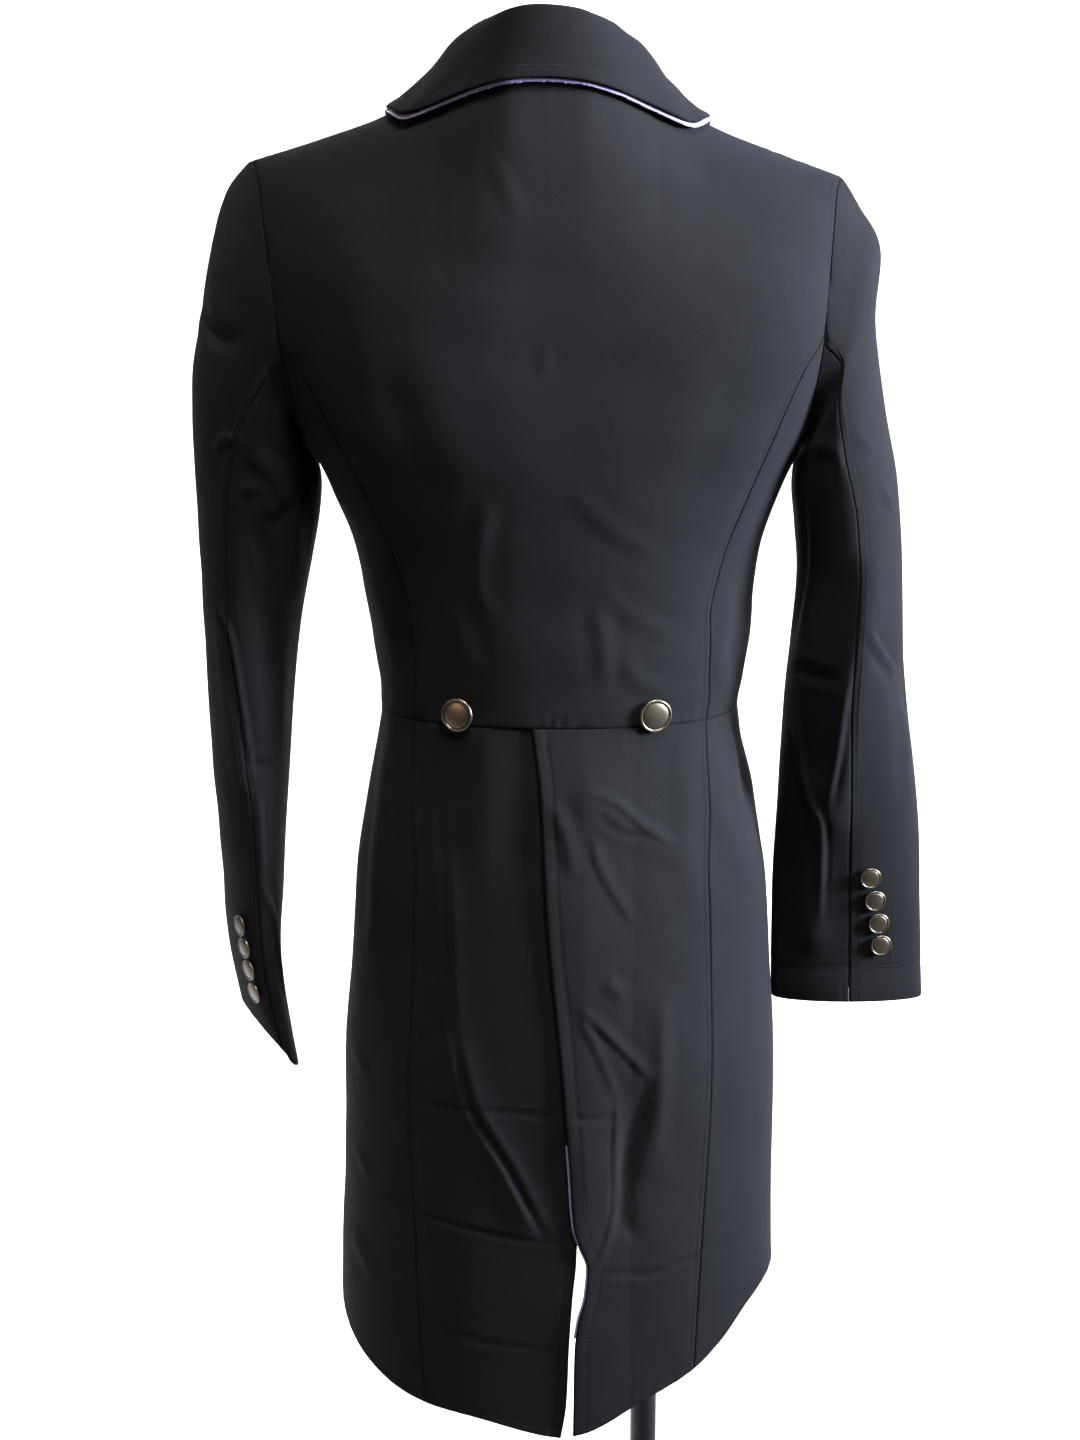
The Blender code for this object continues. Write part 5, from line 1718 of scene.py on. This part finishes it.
@dataclass
class Collar:
    """The turned-down collar with its felt under the fall."""

    lift: float = 6.7
    layer: float = 2.0
    lean: float = -7.0
    inside: float = 2.5
    proud: float = 2.6
    felt: float = 1.0
    felt_gap: float = 0.5
    finer: int = 5
    stitch_in: float = 9.4
    roll: float = 1.7
    dip: float = 0.5
    channel: float = 0.28
    groove: float = 1.6
    rim_shade_reach: float = 3.0
    fall_from: int = 7

    def sections(self) -> np.ndarray:
        """Neck, roll and fall points from the left front end to the right one.

        Returns:
            Thirteen sections of three points.
        """
        made = []
        for station in COLLAR_BACK + COLLAR_FRONT:
            behind = station in COLLAR_BACK
            level = COAT.level_at(station.fall_x, station.fall_z)
            share = COAT.share_at(station.fall_x, level)
            share = share if behind else 2 - share
            lift = self.lift if behind else self.lift + self.layer
            fall = COAT.point(share, level, False) + COAT.normal(share, level) * lift
            fall[0] -= ease(BODY, "lean", level)
            if behind:
                neck = np.array([station.neck, ease(RIDGE, "depth", station.neck, "out"),
                                 ease(RIDGE, "height", station.neck, "out") + 0.6])
            else:
                place = 2 - COAT.share_at(ease(FRONT_EDGE, "out", station.neck), station.neck)
                neck = COAT.point(place, station.neck, False) - np.array([self.inside, 0, 0])
                neck[0] -= ease(BODY, "lean", station.neck)
            made.append((neck, np.array([station.roll_x, station.roll_y, station.roll_z]), fall))
        right = np.array(made)
        left = right[::-1].copy()
        left[..., 0] *= -1
        both = np.concatenate([left[:-1], right])
        both[..., 2] -= COAT.ridge_tilt * both[..., 0]
        both[..., 0] += self.lean
        return both

    def clear(self, points: np.ndarray) -> np.ndarray:
        """Move points out until they stand the collar's lift off the coat."""
        shares = np.concatenate([np.linspace(-1.7, -0.02, 90), np.linspace(0.02, 1.7, 90)])
        share, level = np.meshgrid(shares, np.linspace(250, COAT.shoulder, 50))
        surface, normal = (item.reshape(-1, 3) for item in COAT.face(share, level))
        flat = points.reshape(-1, 3)
        gap = ((flat[:, None] - surface[None]) ** 2).sum(-1)
        nearest = gap.argmin(1)
        height = ((flat - surface[nearest]) * normal[nearest]).sum(-1)
        push = np.clip(self.lift - height, 0, None)
        return (flat + normal[nearest] * push[:, None]).reshape(points.shape)

    def surface(self) -> tuple[np.ndarray, np.ndarray]:
        """Points up the stand, over the roll and down the fall, and their directions.

        Formula: curves through six places of each section, eased clear of the body,
        then read again on a finer grid.

        Returns:
            Points and directions.
        """
        sections = spline(self.sections(), np.linspace(0, 12, 33))
        neck, roll, fall = sections[:, 0], sections[:, 1], sections[:, 2]
        drop = fall - roll
        profile = np.stack([neck, neck + (roll - neck) * np.array([0.75, 0.75, 0.72]), roll,
                            roll + drop * np.array([0.30, 0.30, 0.12]),
                            roll + drop * np.array([0.62, 0.62, 0.52]), fall], 0)
        across = np.concatenate([[0, 0.18, 0.3], np.linspace(0.37, 0.5, 4), [0.6, 0.72, 0.85, 1.0]])
        points = np.moveaxis(spline(profile, across * 5), 0, 1)
        for _ in range(3):
            fall = points[:, self.fall_from:]
            fall[1:-1] = (fall[:-2] + 2 * fall[1:-1] + fall[2:]) / 4
            points[:, self.fall_from:] = self.clear(fall)
        along = np.linspace(0, 32, 32 * self.finer + 1)
        down = np.concatenate([np.arange(0, 9.6, 0.25), np.linspace(9.6, 10, 5)])
        fine = np.moveaxis(spline(np.moveaxis(spline(points, along), 1, 0), down), 0, 1)
        normal = unit(np.cross(np.gradient(fine, axis=0), np.gradient(fine, axis=1)))
        away = (fine[:, -1] - np.array([self.lean, 0, 0])) * np.array([1, 1, 0])
        return fine, normal * np.sign((normal[:, -1] * away).sum())

    def build(self) -> None:
        """The collar, its stitches and the felt."""
        points, normal = self.surface()
        outer = points.copy()
        outer[:, -1] += unit(points[:, -2] - points[:, -1]) * self.proud
        across, along = lengths(outer), lengths(outer, 1)
        off = along[:, -1:] - along
        wave = 0.25 * np.sin(2 * pi * across / 37.0) + 0.2 * np.sin(2 * pi * across / 61.0 + 1.0)
        dip = self.dip * np.clip(1 - off / self.roll, 0, 1) ** 2
        dip = dip + self.channel * np.clip(1 - np.abs(off - self.stitch_in) / self.groove, 0, 1)
        outer = outer + normal * (wave * np.clip(along / 30, 0, 1) - dip)[..., None]
        uv = np.stack([across, along], -1)
        # Painted shade: the twill is mixed towards near-black near the collar's outer edge
        edge = np.clip(1 - off / self.rim_shade_reach, 0, 1)
        cloth = Shell(COAT.cloth).build("collar_cloth", outer, normal, uv, edge, (TWILL, TWILL))
        item = cloth.build(Slot.CLOTH, ("collar",))
        place = np.clip(along[:, -1] - self.stitch_in, 0, None)
        index = (along <= place[:, None]).sum(1) - 1
        row = np.arange(len(outer))
        span = along[row, index + 1] - along[row, index]
        share = ((place - along[row, index]) / span)[:, None]
        line = outer[row, index] * (1 - share) + outer[row, index + 1] * share
        sewn = STITCHER.sew("collar_stitching", [(line[4:-4], normal[row, index][4:-4])])
        thread = sewn.build(Slot.CLOTH)
        declare(item, outer, "folded", ("back",))
        self.felt_strip(points, normal, uv)

    def felt_strip(self, points: np.ndarray, normal: np.ndarray, uv: np.ndarray) -> None:
        """The felt, from the collar's own points moved in, with an uneven fuzzy edge."""
        first = int(np.argmin(np.abs(uv[len(uv) // 2, :, 1] - uv[len(uv) // 2, -1, 1] + 18)))
        base = points[:, first:]
        facing = normal[:, first:]
        steps = np.linspace(0, base.shape[1] - 1, 14)
        felt = np.moveaxis(spline(np.moveaxis(base, 1, 0), steps), 0, 1)
        turned = unit(np.moveaxis(spline(np.moveaxis(facing, 1, 0), steps), 0, 1))
        long = np.linspace(0, len(felt) - 1, 4 * len(felt))
        felt, turned = spline(felt, long), unit(spline(turned, long))
        chance = np.random.default_rng(61)
        ragged = chance.normal(0, 0.22, len(felt))
        down = unit(felt[:, -1] - felt[:, -2])
        felt[:, -1] += down * ragged[:, None]
        felt = felt - turned * (COAT.cloth + self.felt_gap)
        place = np.stack(np.meshgrid(np.linspace(0, 18, 14), np.arange(len(felt)) * 0.9), -1)
        shell = Shell(self.felt, 0.3)
        still = np.zeros(felt.shape[:2])
        piece = shell.build("undercollar_felt", felt, turned, place, still, (FELT, FELT))
        item = piece.build(Slot.FELT, ("undercollar",))
        declare(item, felt, "laid", ("collar",))


class ButtonSize(NamedTuple):
    """Radius, thickness and dome of a button."""

    radius: float
    thickness: float
    dome: float


@dataclass
class Buttons:
    """The waist, cuff and front buttons."""

    big: ButtonSize = ButtonSize(11.5, 3.2, 0.7)
    small: ButtonSize = ButtonSize(7.5, 2.6, 0.5)
    seam_gap: float = 0.3
    waist_x: tuple[float, float] = (-67.5, 64.5)
    waist_level: float = 8.0
    sides: int = 56

    def profile(self, size: ButtonSize) -> tuple[np.ndarray, np.ndarray]:
        """Half section of a button: underside, rim and a low dome in a shallow groove.

        Args:
            size: The button's size.

        Returns:
            Distances from the axis with heights, and how rubbed each ring is.
        """
        r, h, d = size.radius, size.thickness, size.dome
        rim = np.linspace(-0.5, 1.5, 9) * pi / 2
        edge = r * 0.09
        around = np.stack([r - edge + edge * np.cos(rim), h - edge + edge * np.sin(rim)], -1)
        lower = np.array([[r * 0.16, 0.0], [r * 0.3, 0.15], [r * 0.42, h * 0.3],
                          [r * 0.85, h * 0.42]])
        dome = np.linspace(0.0, 0.97, 12)[:, None] * pi / 2
        low = h - edge * 0.9
        face = np.concatenate([r * 0.80 * np.cos(dome), low + (h + d - low) * np.sin(dome)], 1)
        groove = np.array([[r * 0.825, h - edge * 1.15]])
        polish = np.concatenate([np.zeros(4), np.linspace(0.2, 1, 5), np.linspace(1, 0.3, 4), [0.0],
                                 0.15 + 0.55 * np.sin(dome[:, 0])])
        return np.concatenate([lower, around, groove, face]), polish

    def make(self, name: str, centre: np.ndarray, direction: np.ndarray, gap: float,
             size: ButtonSize) -> None:
        """Turn the profile round the button's axis and seat it on the cloth.

        Args:
            name: The node that it stands for.
            centre: Place on the cloth.
            direction: Outward direction.
            gap: How far its shank stands off that place.
            size: The button's size.
        """
        outline, polish = self.profile(size)
        local, faces = turned(outline, (0.0, size.thickness + size.dome), self.sides)
        axis = np.array(Vector(direction).to_track_quat("Z", "Y").to_matrix())
        points = local @ axis.T + centre + direction * (gap + self.seam_gap)
        wear = np.concatenate([np.repeat(polish, self.sides), [0.0, polish[-1]]])
        Piece(name + "_face", points, faces, (PEWTER,), edge=wear).build(Slot.BUTTON, (name,))

    def build(self) -> None:
        """Every button."""
        for side, x in ((Side.LEFT, self.waist_x[0]), (Side.RIGHT, self.waist_x[1])):
            lean = ease(BODY, "lean", self.waist_level)
            share = float(COAT.share_at(x - lean, self.waist_level))
            place = COAT.face(share, self.waist_level)
            self.make("waist_button_" + side.word, *place, 0.5, self.big)
        cuffs = (
            (RIGHT_TUBE, (-122, -139, -156, -172.5), (0.205, 0.195, 0.187, 0.182)),
            (LEFT_TUBE, (-149, -165, -182, -201), (0.138, 0.148, 0.152, 0.152)),
        )
        for tube, heights, shares in cuffs:
            for number, (height, share) in enumerate(zip(heights, shares), 1):
                points, normals = tube.surface(np.array([share]), np.array([tube.step_at(height)]))
                name = "cuff_button_%s_%d" % (tube.side.word, number)
                self.make(name, points[0], normals[0], 0.3, self.small)
        for side in (Side.LEFT, Side.RIGHT):
            for number, (out, level) in enumerate(((30, 95), (34, 48), (38, 4)), 1):
                place = COAT.face(side.value * (2 - COAT.share_at(out, level)), level)
                self.make("front_button_%s_%d" % (side.word, number), *place, 3.1, self.big)


@dataclass
class DressForm:
    """The form's torso, pole and base."""

    pole_x: float = 63.0
    pole_radius: float = 9.5
    pole_top: float = -190.3
    base_x: float = 20.0
    base_radius: float = 185.0
    base_thickness: float = 8.0
    sides: int = 96

    def lathe(self, name: str, x: float, profile: np.ndarray, node: str) -> None:
        """Turn a closed half section round an upright axis.

        Args:
            name: The piece's name.
            x: Place of the axis.
            profile: Distances and heights from the bottom middle to the top middle.
            node: The node that it stands for.
        """
        points, faces = turned(profile[1:-1], profile[[0, -1], 1], self.sides)
        points[:, 0] += x
        Piece(name, points, faces, (SATIN_STEEL,)).build(Slot.STEEL, (node,))

    def build(self) -> None:
        """The pole, the base and the torso's cover."""
        floor = -WAIST_HEIGHT
        bottom = floor + self.base_thickness + 0.3
        r = self.pole_radius
        top = self.pole_top
        pole = np.array([[0, bottom], [r - 0.6, bottom], [r, bottom + 0.6], [r, bottom + 200],
                         [r, top - 200], [r, top - 0.6], [r - 0.6, top], [0, top]])
        self.lathe("form_pole_steel", self.pole_x, pole, "form_pole")
        turn = np.linspace(0, 1, 7) * pi / 2
        reach, top = self.base_radius, floor + self.base_thickness
        rim = np.stack([reach - 2.5 + 2.5 * np.sin(turn), top - 2.5 + 2.5 * np.cos(turn)], -1)[::-1]
        base = np.concatenate([[[0, floor], [reach - 1.2, floor], [reach, floor + 1.2]], rim,
                               [[reach * 0.5, top], [0, top]]])
        self.lathe("form_base_steel", self.base_x, base, "form_base")
        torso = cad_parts["form_torso"]
        torso.data.materials.clear()
        torso.data.materials.append(dress(JERSEY))


@dataclass
class Studio:
    """Camera, soft lights and a pale floor that curves up behind."""

    camera_place: tuple[float, float, float] = (-0.0125, -2.295, 1.537)
    pitch: float = 12.8
    lens: float = 84.2
    floor_grey: float = 0.88

    def camera(self) -> None:
        """The camera at the coat's viewing angle."""
        data = bpy.data.cameras.new("camera")
        data.lens = self.lens
        data.sensor_width = 36.0
        data.sensor_fit = "AUTO"
        item = add_object("camera", data)
        item.location = self.camera_place
        item.rotation_euler = (radians(90 - self.pitch), 0, 0)
        bpy.context.scene.camera = item

    def light(self, name: str, place: tuple[float, float, float], size: float, power: float,
              colour: tuple[float, float, float] = (1.0, 1.0, 1.0),
              aim: tuple[float, float, float] = (0.0, 0.0, 1.0), spread: float = 180.0) -> None:
        """A square soft light aimed at a place.

        Args:
            name: The light's name.
            place: Where it stands, in metres.
            size: Its side, in metres.
            power: Its power, in watts.
            colour: Its colour.
            aim: Where it points.
            spread: Angle of its beam, in degrees.
        """
        data = bpy.data.lights.new(name, "AREA")
        data.color = colour
        data.size = size
        data.energy = power
        data.spread = radians(spread)
        item = add_object(name, data)
        item.location = place
        item.rotation_euler = (Vector(aim) - Vector(place)).to_track_quat("-Z", "Y").to_euler()

    def floor(self) -> None:
        """A pale sweep: flat, then a quarter round up to an upright wall."""
        turn = np.linspace(0, 1, 17) * pi / 2
        radius, far, half, top = 1.2, 3.4, 7.0, 5.0
        y = np.concatenate([[-6.0], far + radius * np.sin(turn), [far + radius]])
        z = np.concatenate([[0.0], radius - radius * np.cos(turn), [top]])
        x = np.linspace(-half, half, 9)
        points = np.stack([np.repeat(x[None], len(y), 0), np.repeat(y[:, None], 9, 1),
                           np.repeat(z[:, None], 9, 1)], -1).reshape(-1, 3)
        mesh = bpy.data.meshes.new("studio_floor")
        mesh.from_pydata(points.tolist(), [], grid_faces(len(y), 9).tolist())
        mesh.shade_smooth()
        material, wire, shader = principled("studio_paper")
        grain = wire.noise(wire.place(), 1.5, 2.0)
        greys = ((*[self.floor_grey + more] * 3, 1.0) for more in (0.0, 0.03))
        wire.feed(shader.inputs["Base Color"], wire.mix(grain, *greys))
        shader.inputs["Roughness"].default_value = 0.9
        mesh.materials.append(material)
        add_object("studio_floor", mesh)

    def build(self) -> None:
        """The whole studio."""
        self.camera()
        self.floor()
        world = bpy.data.worlds.new("studio_air")
        world.use_nodes = True
        back = world.node_tree.nodes["Background"]
        back.inputs["Color"].default_value = (0.95, 0.97, 1.0, 1.0)
        back.inputs["Strength"].default_value = 0.09
        bpy.context.scene.world = world
        bpy.context.scene.view_settings.view_transform = "Standard"
        self.light("key", (3.0, -0.58, 1.95), 0.9, 74.0, (0.82, 0.91, 1.0), (0.0, 0.0, 1.2), 40.0)
        self.light("fill", (-2.2, -2.6, 1.8), 1.2, 1.8, (1.0, 0.66, 0.46), spread=40.0)
        self.light("top", (0.5, -0.9, 3.6), 1.0, 11.5, (1.0, 0.92, 0.86), (0.05, 0.0, 1.3), 30.0)
        self.light("backdrop", (0.0, 2.2, 3.6), 3.0, 400.0, aim=(0.0, 4.5, 1.2))


def main() -> None:
    """Dress the frame and set up the studio."""
    logging.basicConfig(level=logging.INFO, format="%(message)s")
    Studio().build()
    for assembly in (Bodice(), Tails(), Sleeves(), Collar(), Buttons(), DressForm()):
        assembly.build()
        LOG.info("%s done", type(assembly).__name__)


if __name__ == "__main__":
    main()
